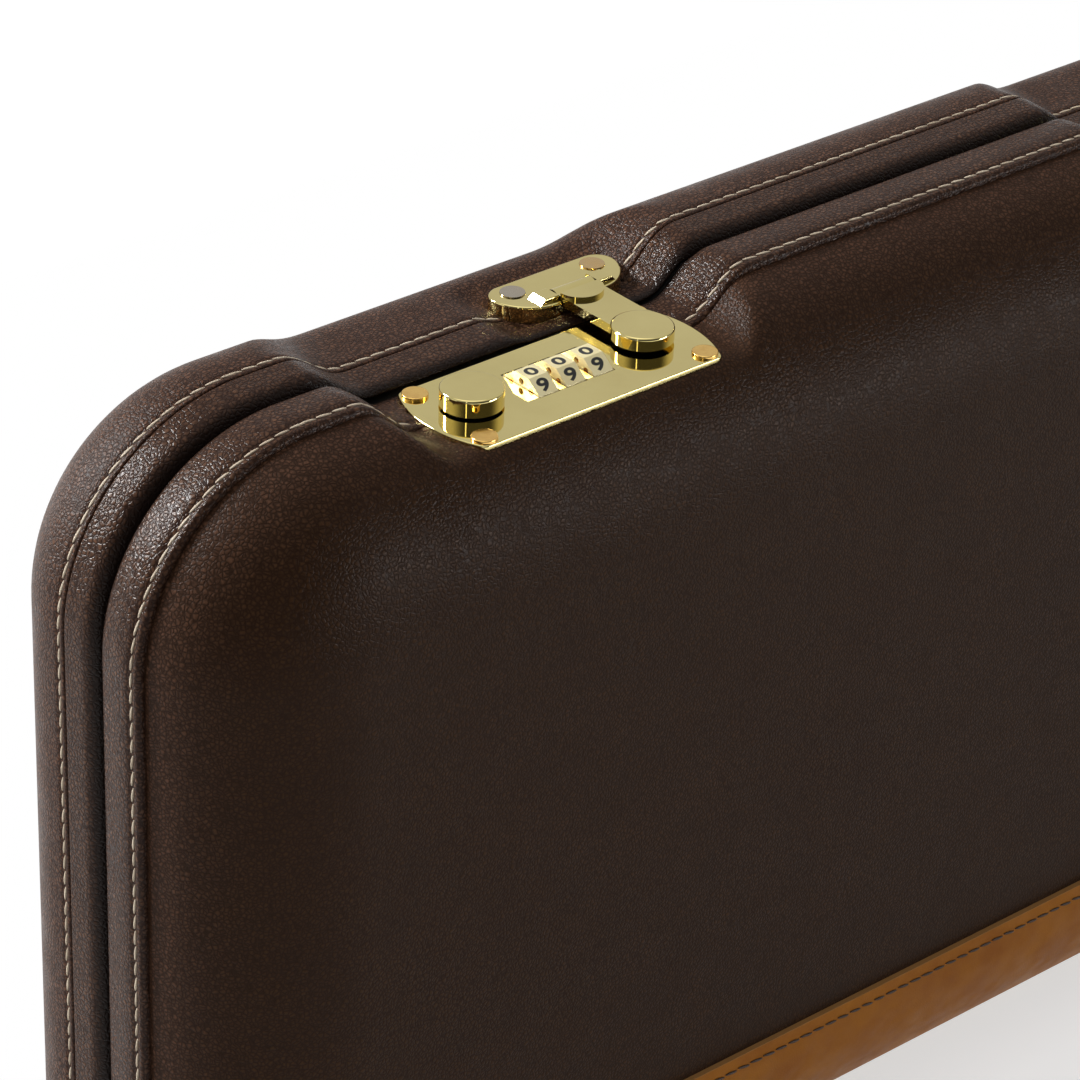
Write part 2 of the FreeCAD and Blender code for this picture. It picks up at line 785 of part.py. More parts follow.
def keeper_knuckles(hasp_x):
    # Flat-topped bar along the hasp pin, bevelled at both ends and eased along its top edges.
    top = hasp_axis_z + keeper_knuckle_rise
    bar = box(
        hasp_x - keeper_knuckle_reach, hasp_x + keeper_knuckle_reach,
        hasp_axis_y - hasp_barrel_radius, hasp_axis_y + hasp_barrel_radius,
        plate_bottom, top,
    )
    ends = []
    for edge in bar.Edges:
        a = edge.Vertexes[0]
        b = edge.Vertexes[-1]
        if min(a.Z, b.Z) > top - 0.001 and abs(a.X - b.X) < 0.001:
            ends.append(edge)
    bar = bar.makeChamfer(keeper_knuckle_bevel, ends)
    long_edges = []
    for edge in bar.Edges:
        a = edge.Vertexes[0]
        b = edge.Vertexes[-1]
        if min(a.Z, b.Z) > top - 0.001 and abs(a.Y - b.Y) < 0.001:
            long_edges.append(edge)
    return bar.makeFillet(keeper_edge_round, long_edges)


def keeper(x):
    hasp_x = x + knob_offset_x
    block = keeper_blank(hasp_x, 0.0, plate_bottom, keeper_top)
    upper = []
    for edge in block.Edges:
        if min(vertex.Z for vertex in edge.Vertexes) > keeper_top - 0.001:
            upper.append(edge)
    block = block.makeFillet(keeper_edge_round, upper)
    half_slot = max(hasp_width, hasp_barrel_width) / 2 + hasp_side_gap
    knuckles = keeper_knuckles(hasp_x)
    slot_back = hasp_axis_y + hasp_barrel_radius + 2 * hasp_side_gap
    slot = box(hasp_x - half_slot, hasp_x + half_slot, -far, slot_back, -far, far)
    pin_half = keeper_knuckle_reach - hasp_pin_cover
    pin_hole = rod_x(hasp_x - pin_half, hasp_x + pin_half, hasp_axis_y, hasp_axis_z,
                     hasp_pin_radius + rivet_clearance)
    body = joined([block, knuckles]).cut(slot).cut(pin_hole)
    for rivet_x, rivet_y in keeper_rivet_places(hasp_x):
        body = body.cut(rivet_hole(rivet_x, rivet_y, plate_bottom, 1.0))
        body = body.cut(post(rivet_x, rivet_y, keeper_top - keeper_rivet_recess, keeper_top + 1.0,
                             keeper_rivet_radius + rivet_clearance))
    return body


def keeper_rivets(x):
    pieces = []
    for rivet_x, rivet_y in keeper_rivet_places(x + knob_offset_x):
        head = post(rivet_x, rivet_y, keeper_top - keeper_rivet_recess,
                    keeper_top + keeper_rivet_proud, keeper_rivet_radius)
        shank = post(rivet_x, rivet_y, plate_bottom - rivet_grip, keeper_top, rivet_shank_radius)
        pieces.append(joined([head, shank]))
    return Part.makeCompound(pieces)


def hasp_pin(x):
    hasp_x = x + knob_offset_x
    pin_half = keeper_knuckle_reach - hasp_pin_cover
    return rod_x(hasp_x - pin_half, hasp_x + pin_half, hasp_axis_y, hasp_axis_z, hasp_pin_radius)


for name, x in latch_places:
    save(latch_plate(x), name + "_latch_plate")
    save(latch_housing(x), name + "_latch_housing")
    save(latch_rivets(x), name + "_latch_rivets")
    save(dial_spindle(x), name + "_dial_spindle")
    for number, place in enumerate((-1, 0, 1), start=1):
        save(number_dial(x, place), name + "_dial_" + str(number))
    save(release_knob(x), name + "_release_knob")
    save(release_bolt(x), name + "_release_bolt")
    save(hasp(x), name + "_hasp")
    save(hasp_knob(x), name + "_hasp_knob")
    save(hasp_pin(x), name + "_hasp_pin")
    save(keeper(x), name + "_keeper")
    save(keeper_rivets(x), name + "_keeper_rivets")


# Carrying handle
eye_outer = bracket_x - lug_thickness / 2 - handle_side_gap
handle_eye_width = 2 * handle_rod_radius
eye_inner = eye_outer - handle_eye_width
eye_mid = (eye_outer + eye_inner) / 2


def handle_brackets():
    pieces = []
    for x in bracket_places:
        base = box(x - bracket_length / 2, x + bracket_length / 2, handle_y - bracket_width / 2,
                   handle_y + bracket_width / 2, valley_floor, valley_floor + bracket_base)
        upright = []
        for edge in base.Edges:
            if abs(edge.Vertexes[0].Z - edge.Vertexes[-1].Z) > bracket_base / 2:
                upright.append(edge)
        base = base.makeFillet(bracket_corner, upright)
        lug = box(x - lug_thickness / 2, x + lug_thickness / 2, handle_y - lug_width / 2,
                  handle_y + lug_width / 2, valley_floor, handle_axis_z)
        crown = rod_x(x - lug_thickness / 2, x + lug_thickness / 2, handle_y, handle_axis_z,
                      lug_width / 2)
        bore = rod_x(x - lug_thickness, x + lug_thickness, handle_y, handle_axis_z,
                     handle_pin_radius + rivet_clearance)
        body = joined([base, lug, crown]).cut(bore)
        pieces.append(body)
    seat = valley_floor + bracket_base
    holes = [rivet_hole(x, y, seat, rivet_grip) for x, y in bracket_rivet_places()]
    return Part.makeCompound([without(body, holes) for body in pieces])


def handle_bracket_rivets():
    pieces = []
    for x, y in bracket_rivet_places():
        pieces.append(rivet(x, y, valley_floor + bracket_base, bracket_rivet_head_radius,
                            bracket_rivet_head_height, rivet_grip))
    return Part.makeCompound(pieces)


def handle_pins():
    pieces = []
    for side in (-1, 1):
        outer = side * (bracket_x + lug_thickness / 2 + handle_pin_end)
        inner = side * (eye_inner - handle_pin_end)
        pieces.append(rod_x(min(outer, inner), max(outer, inner), handle_y, handle_axis_z,
                            handle_pin_radius))
    return Part.makeCompound(pieces)


def handle_frame():
    bar_z = handle_axis_z + handle_reach
    bend_z = bar_z - handle_bend_radius
    bend_x = eye_mid - handle_bend_radius
    pieces = [rod_x(-bend_x, bend_x, handle_y, bar_z, handle_rod_radius)]
    for side in (-1, 1):
        pieces.append(post(side * eye_mid, handle_y, handle_axis_z, bend_z, handle_rod_radius))
        bend_start = Vector(side * eye_mid, handle_y, bend_z)
        circle = Part.Wire(Part.makeCircle(handle_rod_radius, bend_start, Z_AXIS))
        bend = Part.Face(circle).revolve(Vector(side * bend_x, handle_y, bend_z), Y_AXIS, -90 * side)
        pieces.append(bend)
        start = min(side * eye_inner, side * eye_outer)
        pieces.append(rod_x(start, start + handle_eye_width, handle_y, handle_axis_z, handle_eye_radius))
    body = joined(pieces)
    bore = rod_x(-bracket_x - beyond, bracket_x + beyond, handle_y, handle_axis_z,
                 handle_pin_radius + handle_running_fit)
    return body.cut(bore)


def handle_grip():
    bar_z = handle_axis_z + handle_reach
    side = Part.Arc(
        Vector(-grip_half_length, handle_y, bar_z + grip_end_radius),
        Vector(0.0, handle_y, bar_z + grip_mid_radius),
        Vector(grip_half_length, handle_y, bar_z + grip_end_radius),
    ).toShape()
    left = Vector(-grip_half_length, handle_y, bar_z)
    right = Vector(grip_half_length, handle_y, bar_z)
    section = Part.Face(Part.Wire([
        side,
        Part.makeLine(Vector(grip_half_length, handle_y, bar_z + grip_end_radius), right),
        Part.makeLine(right, left),
        Part.makeLine(left, Vector(-grip_half_length, handle_y, bar_z + grip_end_radius)),
    ]))
    grip = section.revolve(Vector(0, handle_y, bar_z), X_AXIS, 360)
    rims = []
    for edge in grip.Edges:
        ends = [abs(vertex.X) for vertex in edge.Vertexes]
        if len(edge.Vertexes) == 1 and ends[0] > grip_half_length - 0.001:
            rims.append(edge)
    grip = grip.makeFillet(grip_end_round, rims)
    return grip.cut(rod_x(-far, far, handle_y, bar_z, handle_rod_radius + rivet_clearance))


save(handle_brackets(), "handle_brackets")
save(handle_bracket_rivets(), "handle_bracket_rivets")
save(handle_pins(), "handle_pins")
save(handle_frame(), "handle_frame")
save(handle_grip(), "handle_grip")
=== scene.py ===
import json
import math
import random

import bmesh
import bpy
from mathutils import Matrix, Vector


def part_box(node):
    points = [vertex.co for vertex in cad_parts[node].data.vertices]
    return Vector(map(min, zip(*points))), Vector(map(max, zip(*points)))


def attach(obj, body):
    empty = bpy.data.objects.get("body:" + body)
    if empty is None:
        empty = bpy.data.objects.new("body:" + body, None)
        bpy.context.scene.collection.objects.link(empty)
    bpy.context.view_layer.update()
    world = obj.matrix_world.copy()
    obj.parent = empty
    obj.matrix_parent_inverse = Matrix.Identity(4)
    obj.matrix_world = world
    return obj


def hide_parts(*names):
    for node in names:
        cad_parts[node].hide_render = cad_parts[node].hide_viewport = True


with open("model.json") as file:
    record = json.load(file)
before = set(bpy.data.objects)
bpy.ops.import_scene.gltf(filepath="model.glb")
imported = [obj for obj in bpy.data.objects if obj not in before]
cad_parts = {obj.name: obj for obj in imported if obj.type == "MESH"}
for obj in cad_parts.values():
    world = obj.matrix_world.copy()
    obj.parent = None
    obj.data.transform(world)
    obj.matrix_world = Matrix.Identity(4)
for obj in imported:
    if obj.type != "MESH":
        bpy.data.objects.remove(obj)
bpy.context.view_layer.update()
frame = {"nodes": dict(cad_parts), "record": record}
nodes = frame["nodes"]

# Sizes read from the frame, in metres
band_low, band_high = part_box("front_rim_band")
cover_low, cover_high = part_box("front_cover")
guard_low, guard_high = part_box("front_base_guard")
lining_low, lining_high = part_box("front_lining")
half_length = band_high.x
rim_top = band_high.z
rim_bottom = band_low.z
mid_height = (rim_top + rim_bottom) / 2
seam_gap = -band_high.y
band_width = -band_low.y
shell_depth = -cover_low.y
band_proud = half_length - cover_high.x
guard_top = guard_high.z
guard_thickness = -guard_low.y - shell_depth
lining_inset = half_length - lining_high.x
lining_start = -lining_high.y
lining_floor = -lining_low.y
latch_centres = {}
for side in ("left", "right"):
    low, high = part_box(side + "_latch_plate")
    latch_centres[side] = (low + high) / 2

# Sizes of the leather, in metres
corner_radius = 0.050
shoulder_inset = 0.042
shoulder_reach = shell_depth - band_width
valley_drop = 0.0106
rear_latch_drop = 0.0085
keeper_dip_run = 0.010
valley_ramp = 0.021
latch_valley_half = 0.0404
handle_valley_half = 0.090
seam_roll = 0.005
band_crown = 0.0005
welt_roll = 0.0014
welt_start = band_width - welt_roll
leather_under = 0.0049
cover_thickness = 0.0019
valley_blend = {"front": 0.003, "rear": 0.008}
slack_run = 0.012
ramp_step = 0.001
stitch_depth = {"front": 0.0143, "rear": 0.0133}
stitch_groove = 0.0005
stitch_groove_width = 0.0008
rear_edge_depth = 0.0113
rear_rise = 0.0004
panel_puff = 0.001
panel_puff_run = 0.005
stitch_pitch = 0.0044
stitch_length = 0.0043
thread_radius = 0.00042
stitch_slant = math.radians(8)
lining_thickness = 0.0018
seat_gap = 0.0001
valleys = [
    (latch_centres["left"].x, latch_valley_half),
    (latch_centres["right"].x, latch_valley_half),
    (0.0, handle_valley_half),
]
# Where the front cover is level with its band: centre, half-length and run-out
level_stretches = [
    (latch_centres["left"].x, 0.037, 0.007),
    (latch_centres["right"].x, 0.037, 0.007),
    (0.0, 0.084, 0.008),
]
plate_end_bulge = 0.0044
towards = {"front": -1, "rear": 1}
half_body = {"front": "base", "rear": "lid"}

# Spacing of the leather's mesh, in metres and degrees
fine_step = 0.0014
coarse_step = 0.003
side_step = 0.004
bottom_step = 0.006
corner_step = 3

# Camera, set by where the left latch shows in the photograph's 1080 by 1080 frame
image_size = 1080
latch_pixel = (561.4, 374.2)
lens_in_pixels = 4554.9
latch_distance = 1.064
view_azimuth = math.radians(41.27)
view_elevation = math.radians(30.49)
view_roll = math.radians(2.04)
sensor_width = 36.0


def make_camera():
    back = Vector((
        -math.sin(view_azimuth) * math.cos(view_elevation),
        -math.cos(view_azimuth) * math.cos(view_elevation),
        math.sin(view_elevation),
    ))
    level = Vector((math.cos(view_azimuth), -math.sin(view_azimuth), 0))
    upright = back.cross(level)
    right = level * math.cos(view_roll) + upright * math.sin(view_roll)
    up = back.cross(right)
    target = latch_centres["left"].copy()
    target.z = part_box("left_latch_plate")[1].z
    across = (latch_pixel[0] - image_size / 2) / lens_in_pixels * latch_distance
    above = (image_size / 2 - latch_pixel[1]) / lens_in_pixels * latch_distance
    place = target + back * latch_distance - right * across - up * above
    turn = Matrix((right, up, back)).transposed().to_4x4()
    data = bpy.data.cameras.new("camera")
    data.sensor_width = sensor_width
    data.lens = sensor_width * lens_in_pixels / image_size
    data.clip_start = 0.01
    data.clip_end = 100
    camera = bpy.data.objects.new("camera", data)
    camera.matrix_world = Matrix.Translation(place) @ turn
    bpy.context.scene.collection.objects.link(camera)
    bpy.context.scene.camera = camera


# Material building blocks
def new_material(name):
    material = bpy.data.materials.new(name)
    material.use_nodes = True
    tree = material.node_tree
    shader = tree.nodes["Principled BSDF"]
    place = tree.nodes.new("ShaderNodeTexCoord").outputs["Object"]
    return material, tree, shader, place


def feed(tree, source, socket):
    """Links a socket to another socket, or sets it to a plain number."""
    if isinstance(source, (int, float)):
        socket.default_value = source
    else:
        tree.links.new(source, socket)


def cloud(tree, place, scale, detail=2.0, roughness=0.5):
    node = tree.nodes.new("ShaderNodeTexNoise")
    node.inputs["Scale"].default_value = scale
    node.inputs["Detail"].default_value = detail
    node.inputs["Roughness"].default_value = roughness
    tree.links.new(place, node.inputs["Vector"])
    return node.outputs["Fac"]


def cells(tree, place, scale):
    """Gives the distance to the nearest edge of a crowd of cells."""
    node = tree.nodes.new("ShaderNodeTexVoronoi")
    node.feature = "DISTANCE_TO_EDGE"
    node.inputs["Scale"].default_value = scale
    tree.links.new(place, node.inputs["Vector"])
    return node.outputs["Distance"]


def spread(tree, value, low, high, to_low, to_high, smooth=False):
    node = tree.nodes.new("ShaderNodeMapRange")
    node.interpolation_type = "SMOOTHSTEP" if smooth else "LINEAR"
    node.inputs["From Min"].default_value = low
    node.inputs["From Max"].default_value = high
    node.inputs["To Min"].default_value = to_low
    node.inputs["To Max"].default_value = to_high
    tree.links.new(value, node.inputs["Value"])
    return node.outputs["Result"]


def sums(tree, operation, first, second):
    node = tree.nodes.new("ShaderNodeMath")
    node.operation = operation
    feed(tree, first, node.inputs[0])
    feed(tree, second, node.inputs[1])
    return node.outputs["Value"]


def tint(tree, share, first, second):
    """Mixes two colours, each a plain colour or a socket."""
    node = tree.nodes.new("ShaderNodeMix")
    node.data_type = "RGBA"
    feed(tree, share, node.inputs[0])
    for source, socket in ((first, node.inputs[6]), (second, node.inputs[7])):
        if isinstance(source, tuple):
            socket.default_value = (*source, 1)
        else:
            tree.links.new(source, socket)
    return node.outputs[2]


def emboss(tree, shader, height, strength, distance):
    node = tree.nodes.new("ShaderNodeBump")
    node.inputs["Distance"].default_value = distance
    feed(tree, strength, node.inputs["Strength"])
    tree.links.new(height, node.inputs["Height"])
    tree.links.new(node.outputs["Normal"], shader.inputs["Normal"])


def wander(tree, place, scale, reach):
    """Shifts the place a little by a cloud, so that cells don't look ruled."""
    node = tree.nodes.new("ShaderNodeTexNoise")
    node.inputs["Scale"].default_value = scale
    tree.links.new(place, node.inputs["Vector"])
    stretch = tree.nodes.new("ShaderNodeVectorMath")
    stretch.operation = "SCALE"
    stretch.inputs["Scale"].default_value = reach
    tree.links.new(node.outputs["Color"], stretch.inputs[0])
    shift = tree.nodes.new("ShaderNodeVectorMath")
    shift.operation = "ADD"
    tree.links.new(place, shift.inputs[0])
    tree.links.new(stretch.outputs["Vector"], shift.inputs[1])
    return shift.outputs["Vector"]


# Finishes
def pebbled_leather(
    name, dark, light, pit, pebble, relief, gloss, smooth_roughness, worn_roughness, shoulder=None
):
    """Leather with flat-topped pebbles, dark pits, painted shade by the seam, painted light on an optional
    lighter shoulder, and wrinkles on the ramps.
    """
    material, tree, shader, place = new_material(name)
    shader.inputs["Specular IOR Level"].default_value = gloss
    loose = wander(tree, place, 0.6 / pebble, pebble * 0.7)
    edge = cells(tree, loose, 1 / pebble)
    plateau = spread(tree, edge, 0.0, 0.2, 0.0, 1.0, smooth=True)
    dome = spread(tree, edge, 0.0, 0.5, 0.0, 1.0, smooth=True)
    small = spread(tree, cells(tree, loose, 2.3 / pebble), 0.0, 0.3, 0.0, 1.0, smooth=True)
    grain = cloud(tree, place, 3.2 / pebble, 3.0, 0.6)
    bend = tree.nodes.new("ShaderNodeAttribute")
    bend.attribute_name = "crease"
    cracks = cells(tree, wander(tree, place, 500, 0.0015), 620)
    crackle = spread(tree, cracks, 0.0, 0.3, 0.0, 1.0, smooth=True)
    wrinkles = sums(tree, "MULTIPLY", crackle, bend.outputs["Fac"])
    height = sums(tree, "ADD", sums(tree, "MULTIPLY", plateau, 0.5), sums(tree, "MULTIPLY", dome, 0.35))
    height = sums(tree, "ADD", height, sums(tree, "MULTIPLY", small, 0.1))
    height = sums(tree, "ADD", height, sums(tree, "MULTIPLY", grain, 0.1))
    height = sums(tree, "ADD", height, sums(tree, "MULTIPLY", wrinkles, 0.9))
    emboss(tree, shader, height, relief, pebble * 0.22)
    mottle = spread(tree, cloud(tree, place, 60, 5.0, 0.6), 0.25, 0.8, 0.0, 1.0)
    ground = tint(tree, mottle, dark, light)
    split = tree.nodes.new("ShaderNodeSeparateXYZ")
    tree.links.new(place, split.inputs["Vector"])
    from_seam = sums(tree, "ABSOLUTE", split.outputs["Y"], 0.0)
    # Painted light: the panel's shoulder near the band gets a lighter colour, for the light it catches
    if shoulder:
        near = spread(tree, from_seam, 0.018, 0.042, 1.0, 0.0, smooth=True)
        ground = tint(tree, near, ground, shoulder)
    blotch = spread(tree, cloud(tree, place, 0.9 / pebble, 2.0, 0.6), 0.36, 0.6, 0.45, 1.0)
    on_pebble = sums(tree, "MULTIPLY", spread(tree, edge, 0.0, 0.36, 0.0, 1.0), blotch)
    colour = tint(tree, on_pebble, pit, ground)
    # Painted shade: the leather darkens over the last few millimetres towards the seam, for the shade in
    # the seam's groove
    seam_shade_share = spread(tree, from_seam, 0.0008, 0.0042, 0.0, 1.0, smooth=True)
    colour = tint(tree, seam_shade_share, seam_painted_shade, colour)
    tree.links.new(colour, shader.inputs["Base Color"])
    shine = spread(tree, cloud(tree, place, 140, 3.0), 0.3, 0.7, smooth_roughness, worn_roughness)
    shine = sums(tree, "SUBTRACT", shine, sums(tree, "MULTIPLY", bend.outputs["Fac"], 0.05))
    tree.links.new(shine, shader.inputs["Roughness"])
    return material


def tan_hide(name):
    """Smooth vegetable-tanned leather with fine pores and a paler cut edge."""
    material, tree, shader, place = new_material(name)
    shader.inputs["Specular IOR Level"].default_value = 0.1
    mottle = spread(tree, cloud(tree, place, 70, 5.0, 0.62), 0.3, 0.7, 0.0, 1.0)
    ground = tint(tree, mottle, (0.38, 0.122, 0.01), (0.5, 0.185, 0.018))
    split = tree.nodes.new("ShaderNodeSeparateXYZ")
    tree.links.new(place, split.inputs["Vector"])
    edge = spread(tree, split.outputs["Z"], guard_top - 0.0003, guard_top - 0.00005, 0.0, 1.0)
    colour = tint(tree, edge, ground, (0.42, 0.21, 0.07))
    tree.links.new(colour, shader.inputs["Base Color"])
    pores = sums(tree, "ADD", cloud(tree, place, 1800, 3.0, 0.6), cells(tree, place, 1300))
    emboss(tree, shader, pores, 0.25, 0.0002)
    shine = spread(tree, cloud(tree, place, 200, 2.0), 0.3, 0.7, 0.42, 0.56)
    tree.links.new(shine, shader.inputs["Roughness"])
    return material


def polished_metal(name, colour, dull_colour, roughness, tarnish_scale=40, metallic=1.0):
    """Metal with a faint tarnish cloud, slightly uneven polish and a wavering surface."""
    material, tree, shader, place = new_material(name)
    shader.inputs["Metallic"].default_value = metallic
    tarnish = spread(tree, cloud(tree, place, tarnish_scale, 4.0, 0.6), 0.4, 0.75, 0.0, 1.0)
    tree.links.new(tint(tree, tarnish, colour, dull_colour), shader.inputs["Base Color"])
    shine = spread(tree, cloud(tree, place, 260, 4.0, 0.65), 0.35, 0.75, roughness, roughness * 2.2)
    tree.links.new(shine, shader.inputs["Roughness"])
    emboss(tree, shader, cloud(tree, place, 110, 2.0), 0.02, 0.0006)
    return material


def keeper_rivet_metal(name):
    """Coppery rivet heads, worn to grey on the left latch's left rivet."""
    material, tree, shader, place = new_material(name)
    shader.inputs["Metallic"].default_value = 1
    low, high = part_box("left_keeper_rivets")
    split = tree.nodes.new("ShaderNodeSeparateXYZ")
    tree.links.new(place, split.inputs["Vector"])
    along = spread(tree, split.outputs["X"], low.x, high.x, 0.0, 1.0, smooth=True)
    grime = sums(tree, "MULTIPLY", along, spread(tree, cloud(tree, place, 400, 3.0), 0.3, 0.6, 0.7, 1.0))
    colour = tint(tree, grime, (0.5, 0.44, 0.36), (0.72, 0.48, 0.2))
    tree.links.new(colour, shader.inputs["Base Color"])
    shine = spread(tree, cloud(tree, place, 500, 3.0), 0.3, 0.7, 0.12, 0.3)
    tree.links.new(shine, shader.inputs["Roughness"])
    return material


def lining_cloth(name):
    """Short-pile cloth with a soft nap."""
    material, tree, shader, place = new_material(name)
    shader.inputs["Sheen Weight"].default_value = 0.5
    shader.inputs["Specular IOR Level"].default_value = 0.1
    shader.inputs["Roughness"].default_value = 0.9
    nap = spread(tree, cloud(tree, place, 30, 4.0, 0.6), 0.3, 0.7, 0.0, 1.0)
    pile = cloud(tree, place, 2600, 2.0, 0.7)
    ground = tint(tree, nap, (0.075, 0.03, 0.02), (0.11, 0.05, 0.033))
    shade = tint(tree, spread(tree, pile, 0.3, 0.6, 0.0, 1.0), (0.045, 0.018, 0.012), ground)
    tree.links.new(shade, shader.inputs["Base Color"])
    emboss(tree, shader, pile, 0.6, 0.0003)
    return material


def moulded_plastic(name):
    material, tree, shader, place = new_material(name)
    speck = spread(tree, cloud(tree, place, 900, 3.0), 0.3, 0.7, 0.0, 1.0)
    tree.links.new(tint(tree, speck, (0.02, 0.02, 0.02), (0.032, 0.031, 0.03)), shader.inputs["Base Color"])
    tree.links.new(spread(tree, speck, 0.0, 1.0, 0.45, 0.6), shader.inputs["Roughness"])
    emboss(tree, shader, cells(tree, place, 700), 0.3, 0.0003)
    return material


def satin_metal(name, colour, roughness):
    """Metal drawn lengthwise, with fine lines along X."""
    material, tree, shader, place = new_material(name)
    shader.inputs["Metallic"].default_value = 1
    stretch = tree.nodes.new("ShaderNodeMapping")
    stretch.inputs["Scale"].default_value = (30, 3000, 3000)
    tree.links.new(place, stretch.inputs["Vector"])
    lines = cloud(tree, stretch.outputs["Vector"], 1.0, 3.0)
    dull = tuple(channel * 0.75 for channel in colour)
    shade = tint(tree, spread(tree, lines, 0.3, 0.7, 0.0, 1.0), dull, colour)
    tree.links.new(shade, shader.inputs["Base Color"])
    tree.links.new(spread(tree, lines, 0.3, 0.7, roughness, roughness * 1.5), shader.inputs["Roughness"])
    emboss(tree, shader, lines, 0.08, 0.0002)
    return material


def waxed_thread(name, pale, shadow):
    """Twisted thread, darker between its strands."""
    material, tree, shader, place = new_material(name)
    shader.inputs["Specular IOR Level"].default_value = 0.3
    shader.inputs["Roughness"].default_value = 0.6
    strands = cloud(tree, place, 2600, 2.0, 0.6)
    soil = cloud(tree, place, 120, 3.0)
    on_strand = spread(tree, strands, 0.3, 0.6, 0.35, 1.0)
    clean = spread(tree, soil, 0.3, 0.6, 0.6, 1.0)
    share = sums(tree, "MULTIPLY", on_strand, clean)
    tree.links.new(tint(tree, share, shadow, pale), shader.inputs["Base Color"])
    emboss(tree, shader, strands, 0.5, 0.0002)
    return material


def printed_ink(name):
    material, tree, shader, place = new_material(name)
    wear = spread(tree, cloud(tree, place, 1500, 3.0), 0.55, 0.75, 0.0, 1.0)
    tree.links.new(tint(tree, wear, (0.01, 0.01, 0.01), (0.04, 0.037, 0.03)), shader.inputs["Base Color"])
    tree.links.new(spread(tree, wear, 0.0, 1.0, 0.35, 0.5), shader.inputs["Roughness"])
    return material


# Colour of the painted shade in the seam's groove
seam_painted_shade = (0.014, 0.008, 0.006)
leather_dark = (0.11, 0.053, 0.029)
leather_light = (0.155, 0.077, 0.045)
leather_pit = (0.024, 0.01, 0.006)
# Rear cover: the band leather's colours made a fifth lighter, painted light for the light falling on the
# rear cover
rear_dark_painted_lighter = (0.132, 0.061, 0.034)
rear_pale_painted_lighter = (0.185, 0.089, 0.053)
face_dark = (0.054, 0.0245, 0.0095)
face_light = (0.084, 0.04, 0.0175)
face_pit = (0.03, 0.0145, 0.008)
# Lighter colour for the panel's shoulder: painted light
face_shoulder_painted_light = (0.125, 0.06, 0.036)
band_leather = pebbled_leather(
    "band_leather", leather_dark, leather_light, leather_pit,
    pebble=0.0012, relief=0.54, gloss=0.09, smooth_roughness=0.2, worn_roughness=0.3,
)
rear_leather_painted_lighter = pebbled_leather(
    "rear_leather_painted_lighter", rear_dark_painted_lighter, rear_pale_painted_lighter, leather_pit,
    pebble=0.0011, relief=0.6, gloss=0.1, smooth_roughness=0.34, worn_roughness=0.46,
)
panel_leather = pebbled_leather(
    "panel_leather", face_dark, face_light, face_pit,
    pebble=0.0011, relief=0.42, gloss=0.05, smooth_roughness=0.3, worn_roughness=0.42,
    shoulder=face_shoulder_painted_light,
)
grip_leather = pebbled_leather(
    "grip_leather", leather_dark, leather_light, leather_pit,
    pebble=0.0009, relief=0.8, gloss=0.07, smooth_roughness=0.26, worn_roughness=0.38,
)
guard_leather = tan_hide("guard_leather")
brass = polished_metal("polished_brass", (0.83, 0.7, 0.3), (0.76, 0.63, 0.26), 0.035)
copper = polished_metal("rivet_copper", (0.95, 0.62, 0.19), (0.84, 0.5, 0.14), 0.14, 300)
keeper_copper = keeper_rivet_metal("keeper_rivet_copper")
dial_metal = polished_metal("dial_brass", (0.97, 0.86, 0.51), (0.9, 0.77, 0.42), 0.3, 120, 0.35)
steel = satin_metal("plain_steel", (0.5, 0.5, 0.5), 0.3)
# The aluminium frame is coloured near black: painted shade for the seam's gap, where the frame shows only
# in shade
aluminium = satin_metal("frame_aluminium", (0.06, 0.055, 0.05), 0.4)
plastic = moulded_plastic("shell_plastic")
cloth = lining_cloth("lining_cloth")
cream_thread = waxed_thread("cream_thread", (0.76, 0.65, 0.5), (0.36, 0.26, 0.17))
brown_thread = waxed_thread("brown_thread", (0.06, 0.026, 0.01), (0.025, 0.011, 0.005))
ink = printed_ink("number_ink")
# Darker copper for the dials' pits: painted shade of a hole, on flat discs
hole_shade_copper = polished_metal("hole_shade_copper", (0.42, 0.19, 0.05), (0.3, 0.13, 0.035), 0.25, 900)


def dress(node, material):
    mesh = nodes[node].data
    mesh.materials.clear()
    mesh.materials.append(material)


slot_finish = {
    "polished_brass": brass,
    "dial_brass": dial_metal,
    "plain_steel": steel,
    "frame_aluminium": aluminium,
    "shell_plastic": plastic,
    "lining_cloth": cloth,
    "brown_leather": band_leather,
    "tan_leather": guard_leather,
}
for subpart in frame["record"]["subparts"]:
    dress(subpart["node"], slot_finish[subpart["material_slot"]])
for side in ("left", "right"):
    dress(side + "_latch_rivets", copper)
    dress(side + "_keeper_rivets", keeper_copper)


# Making and placing pieces
def make_piece(name, bm, material, body):
    mesh = bpy.data.meshes.new(name)
    bm.to_mesh(mesh)
    bm.free()
    mesh.shade_smooth()
    mesh.materials.append(material)
    piece = bpy.data.objects.new(name, mesh)
    bpy.context.scene.collection.objects.link(piece)
    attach(piece, body)
    return piece


